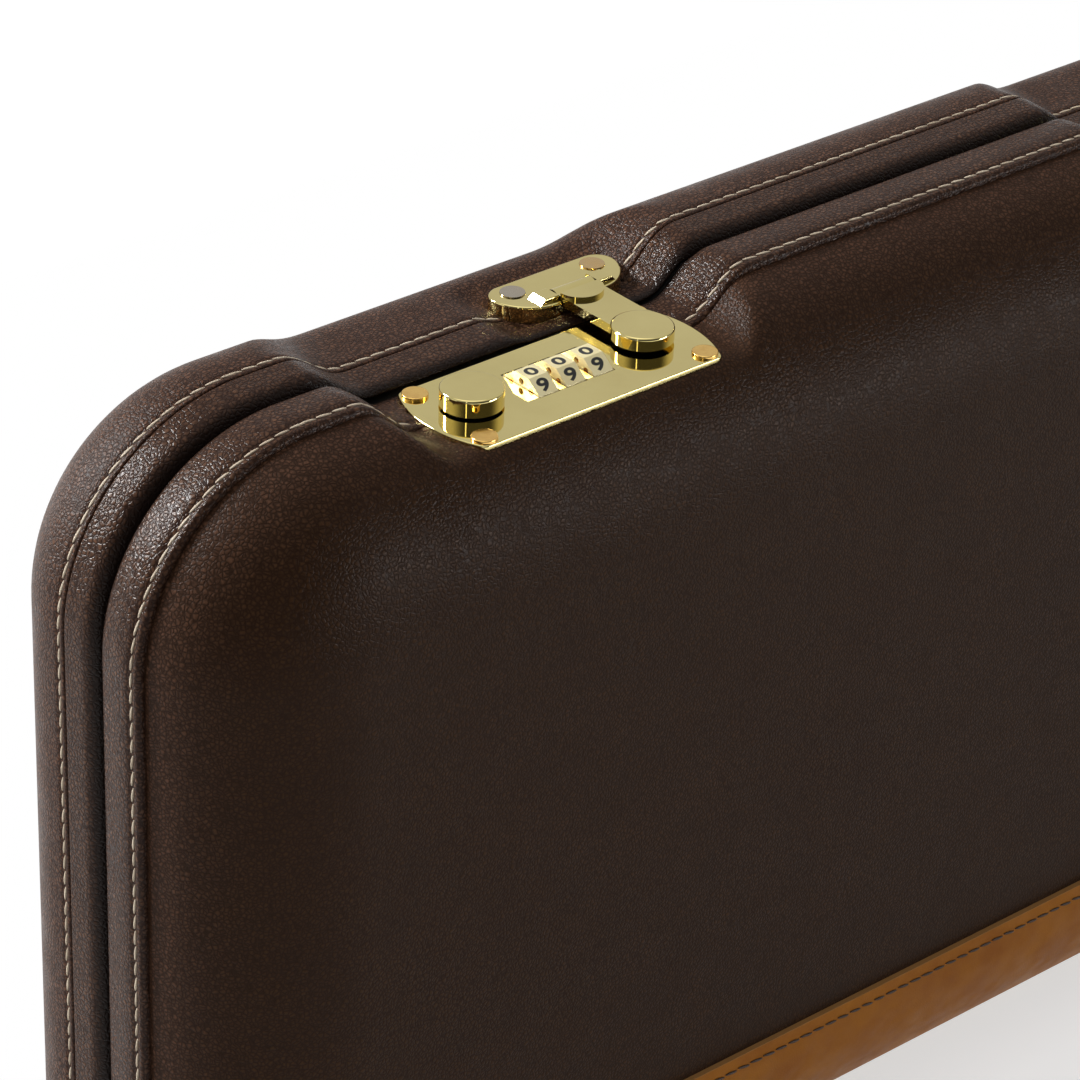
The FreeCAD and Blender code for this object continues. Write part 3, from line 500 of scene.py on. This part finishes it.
def cut_pocket(piece, low, high):
    """Cuts a box-shaped pocket out of a piece."""
    bm = bmesh.new()
    bmesh.ops.create_cube(bm, size=1)
    bmesh.ops.scale(bm, vec=high - low, verts=bm.verts)
    bmesh.ops.translate(bm, vec=(low + high) / 2, verts=bm.verts)
    mesh = bpy.data.meshes.new("pocket")
    bm.to_mesh(mesh)
    bm.free()
    cutter = bpy.data.objects.new("pocket", mesh)
    bpy.context.scene.collection.objects.link(cutter)
    modifier = piece.modifiers.new("pocket", "BOOLEAN")
    modifier.operation = "DIFFERENCE"
    modifier.solver = "EXACT"
    modifier.object = cutter
    whole = piece.evaluated_get(bpy.context.evaluated_depsgraph_get())
    result = bpy.data.meshes.new_from_object(whole)
    piece.modifiers.clear()
    old = piece.data
    piece.data = result
    bpy.data.meshes.remove(old)
    bpy.data.objects.remove(cutter)
    bpy.data.meshes.remove(mesh)


# The rim's outline
def smooth_step(share):
    share = min(max(share, 0.0), 1.0)
    return share ** 3 * (share * (6 * share - 15) + 10)


def valley_share(x, soften=0.0):
    """How much of the full dip the rim's top has at x, with a longer ramp where the leather is slack."""
    run = valley_ramp + slack_run * soften
    lead = slack_run * soften / 2
    shares = [1 - smooth_step((abs(x - centre) - half + lead) / run) for centre, half in valleys]
    return max(shares)


def slack(half, depth):
    """How slack the leather is over the ramps; the rear cover spans them softly away from the seam."""
    return smooth_step((depth - 0.008) / 0.016) if half == "rear" else 0.0


keeper_boxes = [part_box("left_keeper"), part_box("right_keeper")]


def full_drop(half, x, depth):
    """How deep a dip is: the rear leather is fuller by the latches, and sinks in round each keeper."""
    if half == "front" or abs(x) < handle_valley_half + valley_ramp:
        return valley_drop
    nearest = keeper_dip_run
    for low, high in keeper_boxes:
        away_x = max(low.x - x, x - high.x, 0.0)
        away_y = max(low.y - depth, depth - high.y, 0.0)
        nearest = min(nearest, math.hypot(away_x, away_y))
    sunk = 1 - smooth_step(nearest / keeper_dip_run)
    return rear_latch_drop + (valley_drop - rear_latch_drop) * sunk


def bend_share(x):
    """How steep the ramp is at x, from 0 on the level to 1 at its middle."""
    share = valley_share(x)
    return 4 * share * (1 - share)


def straight(start, end, inward, step):
    run = math.dist(start, end)
    count = math.ceil(run / step)
    places = []
    for number in range(count + 1):
        share = number / count
        x = start[0] + (end[0] - start[0]) * share
        z = start[1] + (end[1] - start[1]) * share
        places.append((x, z, *inward))
    return places


def corner(centre_x, centre_z, start):
    places = []
    for turn in range(corner_step, 90, corner_step):
        angle = math.radians(start - turn)
        out_x = math.cos(angle)
        out_z = math.sin(angle)
        places.append((centre_x + corner_radius * out_x, centre_z + corner_radius * out_z, -out_x, -out_z))
    return places


def top_run(run_x):
    """Places along the top, closer together where the rim dips."""
    places = []
    x = -run_x
    while x < run_x - fine_step / 2:
        places.append((x, rim_top, 0.0, -1.0))
        near = any(abs(x - centre) < half + valley_ramp + coarse_step for centre, half in valleys)
        x += fine_step if near else coarse_step
    places.append((run_x, rim_top, 0.0, -1.0))
    return places


def rim_outline():
    """Lists places round the rim, each with x, z and the inward direction there."""
    run_x = half_length - corner_radius
    upper = rim_top - corner_radius
    lower = rim_bottom + corner_radius
    places = top_run(run_x)
    places += corner(run_x, upper, 90)
    places += straight((half_length, upper), (half_length, lower), (-1.0, 0.0), side_step)
    places += corner(run_x, lower, 0)
    places += straight((run_x, rim_bottom), (-run_x, rim_bottom), (0.0, 1.0), bottom_step)
    places += corner(-run_x, lower, 270)
    places += straight((-half_length, lower), (-half_length, upper), (1.0, 0.0), side_step)
    places += corner(-run_x, upper, 180)
    return places


outline = rim_outline()


def sweep(profile, put):
    """Draws the outline at the profile's first step and extrudes it through the others."""
    bm = bmesh.new()
    station = bm.verts.layers.int.new("station")
    ring = []
    for number, place in enumerate(outline):
        vert = bm.verts.new(put(place, *profile[0]))
        vert[station] = number
        ring.append(vert)
    first = [bm.edges.new((ring[number - 1], ring[number])) for number in range(len(ring))]
    edges = first
    for step in profile[1:]:
        made = bmesh.ops.extrude_edge_only(bm, edges=edges)["geom"]
        edges = [item for item in made if isinstance(item, bmesh.types.BMEdge)]
        for vert in made:
            if isinstance(vert, bmesh.types.BMVert):
                vert.co = put(outline[vert[station]], *step)
    return bm, first, edges


# Where metal sits pressed into the leather
seats = {
    "front": ["left_latch_plate", "right_latch_plate", "handle_brackets", "hinge_leaf_front"],
    "rear": ["left_keeper", "right_keeper", "hinge_leaf_rear"],
}


def seat_boxes(half):
    boxes = []
    for node in seats[half]:
        low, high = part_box(node)
        if node == "handle_brackets":
            middle = 0.055
            boxes.append((low, Vector((-middle, high.y, high.z)), 0.0))
            boxes.append((Vector((middle, low.y, low.z)), high, 0.0))
        else:
            boxes.append((low, high, plate_end_bulge if node.endswith("plate") else 0.0))
    return boxes


def under_metal(point, boxes):
    """Finds the metal that covers a point, allowing for the plates' bulged ends."""
    for low, high, bulge in boxes:
        same_level = (point.z > mid_height) == (low.z > mid_height)
        aside = (2 * point.y - low.y - high.y) / (high.y - low.y)
        pulled_in = bulge * aside * aside
        if same_level and abs(aside) < 1 and low.x + pulled_in < point.x < high.x - pulled_in:
            return low, high
    return None


def press_in(bm, half):
    """Presses the leather down under the metal that sits on it."""
    boxes = seat_boxes(half)
    for vert in bm.verts:
        metal = under_metal(vert.co, boxes)
        if metal and vert.co.z > mid_height:
            vert.co.z = min(vert.co.z, metal[0].z - seat_gap)
        elif metal:
            vert.co.z = max(vert.co.z, metal[1].z + seat_gap)


def mark_creases(piece):
    """Stores how steep the rim's ramp is at each point, for the wrinkles."""
    crease = piece.data.attributes.new("crease", "FLOAT", "POINT")
    for number, vert in enumerate(piece.data.vertices):
        high_up = smooth_step((vert.co.z - (rim_top - 0.040)) / 0.020)
        crease.data[number].value = bend_share(vert.co.x) * high_up


def cut_housings(piece):
    room = Vector((0.0002, 0.0002, 0.0))
    for side in ("left", "right"):
        low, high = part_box(side + "_latch_housing")
        cut_pocket(piece, low - room, high + room + Vector((0, 0, 0.004)))


# Padded rim bands
def level_share(x):
    """Where the front cover is level with its band, from 0 to 1."""
    shares = [1 - smooth_step((abs(x - centre) - half) / run) for centre, half, run in level_stretches]
    return max(shares)


def roll_steps():
    """The rolled edge at the seam, as steps of depth from the seam and inset from the rim's outline."""
    steps = [(seam_gap, leather_under)]
    for turn in range(10, 91, 10):
        angle = math.radians(turn)
        steps.append((seam_gap + seam_roll * (1 - math.cos(angle)), seam_roll * (1 - math.sin(angle))))
    return steps


def groove(depth, half):
    return stitch_groove * math.exp(-((depth - stitch_depth[half]) / stitch_groove_width) ** 2)


def front_band_profile():
    """Once round the band's section, from the seam over the crown to the rolled welt."""
    steps = roll_steps()
    roll_end = seam_gap + seam_roll
    count = 18
    for number in range(1, count + 1):
        share = number / count
        depth = roll_end + (welt_start - roll_end) * share
        steps.append((depth, groove(depth, "front") - band_crown * math.sin(math.pi * share)))
    for turn in range(18, 91, 18):
        angle = math.radians(turn)
        steps.append((welt_start + welt_roll * math.sin(angle), welt_roll * (1 - math.cos(angle))))
    steps.append((band_width, band_proud + 0.0001))
    steps.append((band_width - 0.0001, leather_under))
    return steps


def rear_band_profile():
    """The rear band tucks under the edge of its cover, which is sewn over it."""
    steps = roll_steps()
    roll_end = seam_gap + seam_roll
    tuck_start = rear_edge_depth - 0.0006
    count = 9
    for number in range(1, count + 1):
        share = number / count
        depth = roll_end + (tuck_start - roll_end) * share
        steps.append((depth, -rear_rise * 0.6 * math.sin(math.pi / 2 * share)))
    steps.append((rear_edge_depth - 0.0002, 0.0))
    steps.append((rear_edge_depth + 0.0001, 0.0008))
    steps.append((rear_edge_depth + 0.001, 0.002))
    steps.append((band_width - 0.0005, 0.0026))
    steps.append((band_width - 0.0006, leather_under))
    return steps


def band_place(half):
    def put(place, depth, inset):
        x, z, inward_x, inward_z = place
        if inward_z > 0.5:
            inset = max(inset, 0.0)
        share = valley_share(x, slack(half, depth)) if z > mid_height else 0.0
        if depth < seam_gap + seam_roll:
            inset *= max(0.39, 1 - 2.15 * share)
        if half == "front" and depth > welt_start and inset < leather_under and z > mid_height:
            inset *= 1 - 0.9 * level_share(x)
        drop = full_drop(half, x, depth) * share
        return Vector((x + inward_x * inset, towards[half] * depth, z + inward_z * inset - drop))
    return put


def make_band(half):
    profile = front_band_profile() if half == "front" else rear_band_profile()
    bm, first, last = sweep(profile, band_place(half))
    bmesh.ops.bridge_loops(bm, edges=first + last)
    bmesh.ops.recalc_face_normals(bm, faces=bm.faces)
    press_in(bm, half)
    band = make_piece(half + "_band_leather", bm, band_leather, half_body[half])
    if half == "front":
        cut_housings(band)
    mark_creases(band)
    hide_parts(half + "_rim_band")


# Moulded leather covers
def shoulder_steps(rim_inset, lift, puff=0.0):
    """Steps over the rounded shoulder to the flat face, lifted off the shell by a distance."""
    steps = []
    across = band_proud + shoulder_inset - rim_inset
    for turn in range(0, 91, 3):
        angle = math.radians(turn)
        depth = band_width + (shoulder_reach + lift) * math.sin(angle)
        swell = puff * math.exp(-(depth - band_width) / panel_puff_run)
        inset = rim_inset + across - (across + lift) * math.cos(angle) - swell
        steps.append((depth, inset))
    return steps


def front_cover_profile():
    """The panel starts in the groove under the welt and swells a little against it."""
    steps = [(band_width - 0.0002, band_proud + 0.0002)]
    return steps + shoulder_steps(band_proud, 0.0, panel_puff)


def rear_cover_profile():
    """The rear panel runs up over its band to a turned edge near the stitches."""
    edge = rear_edge_depth
    steps = [(edge, 0.0007), (edge, 0.0), (edge + 0.0002, -rear_rise * 0.7), (edge + 0.0007, -rear_rise)]
    depth = edge + 0.0012
    while depth < band_width - 0.0003:
        steps.append((depth, groove(depth, "rear") - rear_rise))
        depth += 0.0005
    return steps + shoulder_steps(-rear_rise, 0.0)


def cover_place(half, rim_inset, sink=0.0):
    """Places a step of a cover or a lining, and bends it down into the rim's dips."""
    def put(place, depth, inset):
        x, z, inward_x, inward_z = place
        if inward_z > 0.5:
            inset = max(inset, 0.0)
        point = Vector((x + inward_x * inset, towards[half] * depth, z + inward_z * inset))
        share = valley_share(point.x, 0.0 if sink else slack(half, depth))
        if z < mid_height or share == 0:
            return point
        drop = valley_drop * share if sink else full_drop(half, point.x, depth) * share
        if depth < band_width - 0.0003 and not sink:
            point.z -= drop
            return point
        step = rim_inset + (min(rim_inset, ramp_step) - rim_inset) * min(share * 3, 1.0)
        if half == "front":
            step *= 1 - level_share(point.x)
        limit = rim_top - drop - sink - step
        blend = (valley_blend["front"] if sink else valley_blend[half]) * share
        overlap = max(blend - abs(point.z - limit), 0.0) / blend
        point.z = min(point.z, limit) - overlap * overlap * blend / 4
        return point
    return put


def fill_face(bm, edges):
    """Closes the flat face, with a narrow level border so that its shading stays flat."""
    face = bmesh.ops.contextual_create(bm, geom=edges)["faces"][0]
    bmesh.ops.inset_individual(bm, faces=[face], thickness=0.0015, use_even_offset=True)


def face_outwards(bm, direction):
    """Turns the skin so that its large flat face looks along Y in the given direction."""
    bmesh.ops.recalc_face_normals(bm, faces=bm.faces)
    facing = sum(face.normal.y for face in bm.faces if face.calc_area() > 0.01)
    if facing * direction < 0:
        bmesh.ops.reverse_faces(bm, faces=bm.faces)


def make_cover(half):
    if half == "front":
        profile = front_cover_profile()
        put = cover_place(half, band_proud - panel_puff)
    else:
        profile = rear_cover_profile()
        put = cover_place(half, -rear_rise)
    bm, first, last = sweep(profile, put)
    fill_face(bm, last)
    press_in(bm, half)
    face_outwards(bm, towards[half])
    bmesh.ops.solidify(bm, geom=bm.faces, thickness=cover_thickness)
    leather = panel_leather if half == "front" else rear_leather_painted_lighter
    cover = make_piece(half + "_cover_leather", bm, leather, half_body[half])
    if half == "front":
        cut_housings(cover)
    mark_creases(cover)
    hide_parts(half + "_cover")


# Tan base guards
def guard_place(half):
    def put(place, depth, inset):
        x, z, inward_x, inward_z = place
        return Vector((x + inward_x * inset, towards[half] * depth, z + inward_z * inset))
    return put


def make_guard(half):
    rim_inset = band_proud if half == "front" else -rear_rise
    bm, first, last = sweep(shoulder_steps(rim_inset, guard_thickness), guard_place(half))
    fill_face(bm, last)
    geometry = bm.verts[:] + bm.edges[:] + bm.faces[:]
    bmesh.ops.bisect_plane(
        bm, geom=geometry, plane_co=(0, 0, guard_top), plane_no=(0, 0, 1), clear_outer=True
    )
    face_outwards(bm, towards[half])
    bmesh.ops.solidify(bm, geom=bm.faces, thickness=guard_thickness)
    guard = make_piece(half + "_guard_leather", bm, guard_leather, half_body[half])
    guard.data.set_sharp_from_angle(angle=math.radians(50))
    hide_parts(half + "_base_guard")


# Cloth linings
def lining_profile():
    reach = lining_floor - band_width - lining_thickness
    across = band_proud + shoulder_inset - lining_inset - lining_thickness
    inset_here = lining_inset + lining_thickness
    steps = [(lining_start, inset_here), (band_width, inset_here)]
    for turn in range(6, 91, 6):
        angle = math.radians(turn)
        inset = inset_here + across * (1 - math.cos(angle))
        steps.append((band_width + reach * math.sin(angle), inset))
    return steps


def make_lining(half):
    bm, first, last = sweep(lining_profile(), cover_place(half, 0.0, sink=lining_inset + lining_thickness))
    fill_face(bm, last)
    face_outwards(bm, -towards[half])
    area = sum(face.calc_area() for face in bm.faces)
    bmesh.ops.solidify(bm, geom=bm.faces, thickness=lining_thickness)
    lining = make_piece(half + "_lining_cloth", bm, cloth, half_body[half])
    if half == "front":
        cut_housings(lining)
    lining.data.shade_smooth()
    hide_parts(half + "_lining")


# Stitching
def sew(name, path, thread, body, boxes, seed):
    """Lays slanted stitches along a path of points, each with its outward direction."""
    chance = random.Random(seed)
    bm = bmesh.new()
    travelled = 0.0
    next_stitch = 0.0
    for (start, outward), (end, _) in zip(path, path[1:]):
        run = (end - start).length
        along = (end - start).normalized()
        across = along.cross(outward).normalized()
        up = across.cross(along)
        while next_stitch < travelled + run:
            place = start.lerp(end, (next_stitch - travelled) / run)
            next_stitch += stitch_pitch
            if under_metal(place, boxes):
                continue
            slant = stitch_slant + chance.uniform(-0.05, 0.05)
            lead = along * math.cos(slant) + across * math.sin(slant)
            width = lead.cross(up)
            half = stitch_length / 2 * chance.uniform(0.94, 1.06)
            axes = (width * thread_radius, up * thread_radius * 0.8, lead * half)
            shape = Matrix(axes).transposed().to_4x4()
            shape.translation = place
            bmesh.ops.create_uvsphere(bm, u_segments=7, v_segments=6, radius=1, matrix=shape)
        travelled += run
    bmesh.ops.recalc_face_normals(bm, faces=bm.faces)
    return make_piece(name, bm, thread, body)


def band_stitches(half, seed):
    depth = stitch_depth[half]
    if half == "front":
        put = band_place(half)
        inset = stitch_groove - band_crown * 0.35 - thread_radius * 0.2
    else:
        put = cover_place(half, -rear_rise)
        inset = stitch_groove - rear_rise - thread_radius * 0.2
    points = [put(place, depth, inset) for place in outline]
    points.append(points[0])
    places = outline + [outline[0]]
    path = []
    for number, point in enumerate(points):
        before = points[max(number - 1, 0)]
        after = points[min(number + 1, len(points) - 1)]
        along = after - before
        outward = Vector((-along.z, 0, along.x)).normalized()
        inward = Vector((places[number][2], 0, places[number][3]))
        if outward.dot(inward) > 0:
            outward.negate()
        path.append((point, outward))
    sew(
        half + "_band_stitches", path, cream_thread, half_body[half],
        seat_boxes(half), seed,
    )


def guard_stitches(half, seed):
    """A row just below the guard's upper edge, across the face and round both shoulders."""
    level = guard_top - 0.004
    centre_x = half_length - corner_radius
    drop = rim_bottom + corner_radius - level
    rise = thread_radius * 0.3
    shoulder = []
    rim_inset = band_proud if half == "front" else -rear_rise
    for depth, inset in reversed(shoulder_steps(rim_inset, guard_thickness + rise)):
        radius = corner_radius - inset
        if radius > abs(drop) + 0.0005:
            x = centre_x + math.sqrt(radius * radius - drop * drop)
            angle = math.asin(min((depth - band_width) / (shoulder_reach + guard_thickness + rise), 1.0))
            outward = Vector((math.cos(angle), towards[half] * math.sin(angle), 0))
            shoulder.append((Vector((x, towards[half] * depth, level)), outward))
    face_y = towards[half] * (shell_depth + guard_thickness + rise)
    face = [(Vector((x, face_y, level)), Vector((0, towards[half], 0))) for x in (-centre_x, centre_x)]
    mirrored = [(Vector((-p.x, p.y, p.z)), Vector((-n.x, n.y, n.z))) for p, n in reversed(shoulder)]
    path = mirrored + face + shoulder
    sew(half + "_guard_stitches", path, brown_thread, half_body[half], [], seed)


# Carrying handle's grip, with angles from its underside in radians
grip_end_roll = 0.002
stitch_row_angle = 0.42
stitch_row_spread = 0.16
stitch_row_rise = 0.03
grip_seam_spread = 0.07
grip_seam_sink = 0.12
grip_flatness = 0.05


def grip_end_steps(half, end_radius):
    """The rolled end of the grip, as steps of distance from the middle and radius."""
    steps = []
    for turn in range(0, 91, 15):
        angle = math.radians(turn)
        x = half - grip_end_roll * (1 - math.cos(angle))
        steps.append((x, end_radius - grip_end_roll * (1 - math.sin(angle))))
    return steps


def make_grip():
    low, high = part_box("handle_grip")
    centre = (low + high) / 2
    half = (high.x - low.x) / 2
    radius = (high.y - low.y) / 2
    end_radius = radius * 0.8
    end_steps = grip_end_steps(half, end_radius)
    bm = bmesh.new()
    steps = [(-half, 0.0)]
    for x, r in end_steps:
        steps.append((-x, r))
    count = 30
    for number in range(1, count):
        share = number / count
        x = (half - grip_end_roll) * (2 * share - 1)
        steps.append((x, end_radius + (radius - end_radius) * math.sin(math.pi * share) ** 0.7))
    steps += reversed(end_steps)
    steps.append((half, 0.0))
    verts = [bm.verts.new((centre.x + x, centre.y + r, centre.z)) for x, r in steps]
    edges = [bm.edges.new(pair) for pair in zip(verts, verts[1:])]
    bmesh.ops.spin(
        bm, geom=verts + edges, cent=centre, axis=(1, 0, 0), angle=2 * math.pi, steps=48, use_merge=True
    )
    bmesh.ops.remove_doubles(bm, verts=bm.verts, dist=0.00001)
    bmesh.ops.recalc_face_normals(bm, faces=bm.faces)
    for vert in bm.verts:
        reach = Vector((0, vert.co.y - centre.y, vert.co.z - centre.z))
        if reach.length > 0.001:
            angle = math.atan2(reach.y, -reach.z)
            seam = math.exp(-(angle / grip_seam_spread) ** 2)
            ridge = math.exp(-((abs(angle) - stitch_row_angle) / stitch_row_spread) ** 2)
            flat = 1 - grip_flatness * math.cos(angle * 2) - grip_seam_sink * seam + stitch_row_rise * ridge
            vert.co = Vector((vert.co.x, centre.y, centre.z)) + reach * flat
    grip = make_piece("grip_leather", bm, grip_leather, "handle")
    crease = grip.data.attributes.new("crease", "FLOAT", "POINT")
    for value in crease.data:
        value.value = 0.0
    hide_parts("handle_grip")
    for seed, turn in ((31, stitch_row_angle), (32, -stitch_row_angle)):
        path = []
        outward = Vector((0, math.sin(turn), -math.cos(turn)))
        for x, r in steps[8:-8]:
            flat = 1 - grip_flatness * math.cos(turn * 2) + stitch_row_rise
            middle = Vector((centre.x + x, centre.y, centre.z))
            path.append((middle + outward * (r * flat + thread_radius * 0.2), outward))
        name = "grip_stitches_front" if turn < 0 else "grip_stitches_rear"
        sew(name, path, cream_thread, "handle", [], seed)


# Numbers and index pits on the dials
number_height = 0.0047
number_weight = 0.00013
number_relief = 0.00004
number_stretch = 1.45
pit_radius = 0.0008
pit_inset = 0.0017
pit_thickness = 0.00004
gate_depth = 0.0008
digit_angle = math.radians(36)


def make_pits():
    """A small copper pit in each dial's left side under every number, a flat disc of darker copper as
    painted shade for the hole; the top one in the open gate.
    """
    for side in ("left", "right"):
        for dial in ("1", "2", "3"):
            low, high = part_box(side + "_dial_" + dial)
            axis = (low + high) / 2
            reach = (high.z - low.z) / 2 - pit_inset
            bm = bmesh.new()
            for number in range(10):
                shift = gate_depth - 0.00005 if number == 0 else -0.00002
                turn = Matrix.Rotation(digit_angle * number, 4, "X") @ Matrix.Translation((0, 0, reach))
                facing = Matrix.Rotation(math.radians(90), 4, "Y")
                place = Matrix.Translation((low.x + shift, axis.y, axis.z)) @ turn @ facing
                bmesh.ops.create_cone(
                    bm, cap_ends=True, segments=16, radius1=pit_radius, radius2=pit_radius * 0.8,
                    depth=pit_thickness, matrix=place,
                )
            bmesh.ops.recalc_face_normals(bm, faces=bm.faces)
            name = side + "_dial_" + dial
            pits = make_piece(name + "_pits", bm, hole_shade_copper, name + "_wheel")
            pits.data.set_sharp_from_angle(angle=math.radians(30))


def number_mesh(digit):
    curve = bpy.data.curves.new("number", "FONT")
    curve.body = str(digit)
    curve.size = number_height
    curve.offset = number_weight
    curve.extrude = number_relief
    curve.resolution_u = 4
    holder = bpy.data.objects.new("number", curve)
    bpy.context.scene.collection.objects.link(holder)
    depsgraph = bpy.context.evaluated_depsgraph_get()
    mesh = bpy.data.meshes.new_from_object(holder.evaluated_get(depsgraph))
    bpy.data.objects.remove(holder)
    bpy.data.curves.remove(curve)
    return mesh


def make_numbers():
    meshes = [number_mesh(digit) for digit in range(10)]
    for side in ("left", "right"):
        for dial in ("1", "2", "3"):
            low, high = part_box(side + "_dial_" + dial)
            axis = (low + high) / 2
            flat = (high.z - low.z) / 2
            bm = bmesh.new()
            for digit, mesh in enumerate(meshes):
                known = len(bm.verts)
                bm.from_mesh(mesh)
                bm.verts.ensure_lookup_table()
                verts = bm.verts[known:]
                middle_x = (min(v.co.x for v in verts) + max(v.co.x for v in verts)) / 2
                middle_y = (min(v.co.y for v in verts) + max(v.co.y for v in verts)) / 2
                bmesh.ops.translate(bm, vec=(-middle_x, -middle_y, flat), verts=verts)
                bmesh.ops.scale(bm, vec=(number_stretch, 1, 1), verts=verts)
                turn = Matrix.Rotation(-digit_angle * digit, 4, "X")
                bmesh.ops.transform(bm, matrix=Matrix.Translation(axis) @ turn, verts=verts)
            name = side + "_dial_" + dial
            numbers = make_piece(name + "_numbers", bm, ink, name + "_wheel")
            numbers.data.set_sharp_from_angle(angle=math.radians(30))
    for mesh in meshes:
        bpy.data.meshes.remove(mesh)


# Floor, light and world, in metres and levels where 1 is white
floor_half = 15
floor_grey = (0.55, 0.55, 0.55, 1)
floor_glow = 0.6
window_half_length = 0.5
window_side_fade = 0.1
window_start = 0.012
window_start_fade = 0.02
window_end = 0.5
window_end_fade = 0.15
backdrop_centre = (0.25, 0.75, 0.62)
backdrop_dark = 0.06
backdrop_bright = 0.58


def floor_window(tree, place):
    """A soft-edged clear patch behind the case, which shows the lid when it swings down past the floor."""
    split = tree.nodes.new("ShaderNodeSeparateXYZ")
    tree.links.new(place, split.inputs["Vector"])
    aside = sums(tree, "ABSOLUTE", split.outputs["X"], 0.0)
    side_end = window_half_length + window_side_fade
    across = spread(tree, aside, window_half_length, side_end, 1.0, 0.0, smooth=True)
    behind = split.outputs["Y"]
    near = spread(tree, behind, window_start, window_start + window_start_fade, 0.0, 1.0, smooth=True)
    far = spread(tree, behind, window_end, window_end + window_end_fade, 1.0, 0.0, smooth=True)
    return sums(tree, "MULTIPLY", across, sums(tree, "MULTIPLY", near, far))


def make_floor():
    bm = bmesh.new()
    bmesh.ops.create_grid(bm, x_segments=2, y_segments=2, size=floor_half)
    mesh = bpy.data.meshes.new("floor")
    bm.to_mesh(mesh)
    bm.free()
    floor = bpy.data.objects.new("floor", mesh)
    bpy.context.scene.collection.objects.link(floor)
    material, tree, shader, place = new_material("floor_paper")
    shader.inputs["Base Color"].default_value = floor_grey
    shader.inputs["Roughness"].default_value = 0.9
    shader.inputs["Specular IOR Level"].default_value = 0.0
    seen = tree.nodes.new("ShaderNodeLightPath")
    rays = sums(tree, "MAXIMUM", seen.outputs["Is Camera Ray"], seen.outputs["Is Glossy Ray"])
    rays = sums(tree, "MAXIMUM", rays, seen.outputs["Is Transmission Ray"])
    shader.inputs["Emission Color"].default_value = (1, 1, 1, 1)
    tree.links.new(sums(tree, "MULTIPLY", rays, floor_glow), shader.inputs["Emission Strength"])
    clear = sums(tree, "MULTIPLY", floor_window(tree, place), seen.outputs["Is Camera Ray"])
    underside = tree.nodes.new("ShaderNodeNewGeometry").outputs["Backfacing"]
    clear = sums(tree, "MAXIMUM", clear, underside)
    tree.links.new(sums(tree, "SUBTRACT", 1.0, clear), shader.inputs["Alpha"])
    mesh.materials.append(material)


def make_world():
    """White to the camera; mirrors and soft light get a backdrop, brightest behind and above the case."""
    world = bpy.data.worlds.new("studio")
    bpy.context.scene.world = world
    world.use_nodes = True
    tree = world.node_tree
    studio = tree.nodes["Background"]
    direction = tree.nodes.new("ShaderNodeTexCoord").outputs["Generated"]
    facing = tree.nodes.new("ShaderNodeVectorMath")
    facing.operation = "DOT_PRODUCT"
    facing.inputs[1].default_value = Vector(backdrop_centre).normalized()
    tree.links.new(direction, facing.inputs[0])
    level = spread(tree, facing.outputs["Value"], -0.2, 0.4, backdrop_dark, backdrop_bright, smooth=True)
    tree.links.new(level, studio.inputs["Strength"])
    studio.inputs["Color"].default_value = (1, 1, 1, 1)
    white = tree.nodes.new("ShaderNodeBackground")
    white.inputs["Color"].default_value = (1, 1, 1, 1)
    white.inputs["Strength"].default_value = 1
    seen = tree.nodes.new("ShaderNodeLightPath")
    rays = sums(tree, "MAXIMUM", seen.outputs["Is Camera Ray"], seen.outputs["Is Transmission Ray"])
    choose = tree.nodes.new("ShaderNodeMixShader")
    tree.links.new(rays, choose.inputs[0])
    tree.links.new(studio.outputs["Background"], choose.inputs[1])
    tree.links.new(white.outputs["Background"], choose.inputs[2])
    tree.links.new(choose.outputs["Shader"], tree.nodes["World Output"].inputs["Surface"])


def make_lamp(name, place, aim, size, power, gloss_only=False):
    """A softbox; one that is gloss-only makes glints and puts no light on the colours."""
    data = bpy.data.lights.new(name, "AREA")
    data.shape = "RECTANGLE"
    data.size = size[0]
    data.size_y = size[1]
    data.energy = power
    lamp = bpy.data.objects.new(name, data)
    lamp.visible_diffuse = not gloss_only
    lamp.location = place
    lamp.rotation_euler = (Vector(aim) - Vector(place)).to_track_quat("-Z", "Y").to_euler()
    bpy.context.scene.collection.objects.link(lamp)


make_camera()
for half, seed in (("front", 3), ("rear", 11)):
    make_band(half)
    make_cover(half)
    make_guard(half)
    make_lining(half)
    band_stitches(half, seed)
    guard_stitches(half, seed + 1)
make_grip()
make_numbers()
make_pits()
make_floor()
make_world()
make_lamp("overhead_softbox", (-0.2, 0.3, 1.8), (-0.2, 0, 0.2), (1.2, 0.9), 2.5)
make_lamp("back_left_softbox", (-1.1, 1.2, 0.98), (-0.35, 0, 0.23), (0.22, 0.85), 26)
make_lamp("back_left_glint", (-1.11, 1.21, 0.99), (-0.35, 0, 0.23), (0.22, 0.85), 44, gloss_only=True)
make_lamp("front_right_glint", (0.75, -1.49, 0.33), (-0.29, 0, 0.23), (0.9, 0.5), 14, gloss_only=True)
make_lamp("left_softbox", (-1.8, 0.3, 0.4), (-0.4, 0, 0.15), (0.5, 0.7), 1.5)
make_lamp("front_right_softbox", (0.74, -1.47, 0.33), (-0.29, 0, 0.23), (0.9, 0.5), 5)
make_lamp("front_left_strip", (-1.75, -0.9, 1.2), (-0.29, 0, 0.25), (0.1, 0.7), 0.5)
bpy.context.scene.view_settings.view_transform = "Standard"
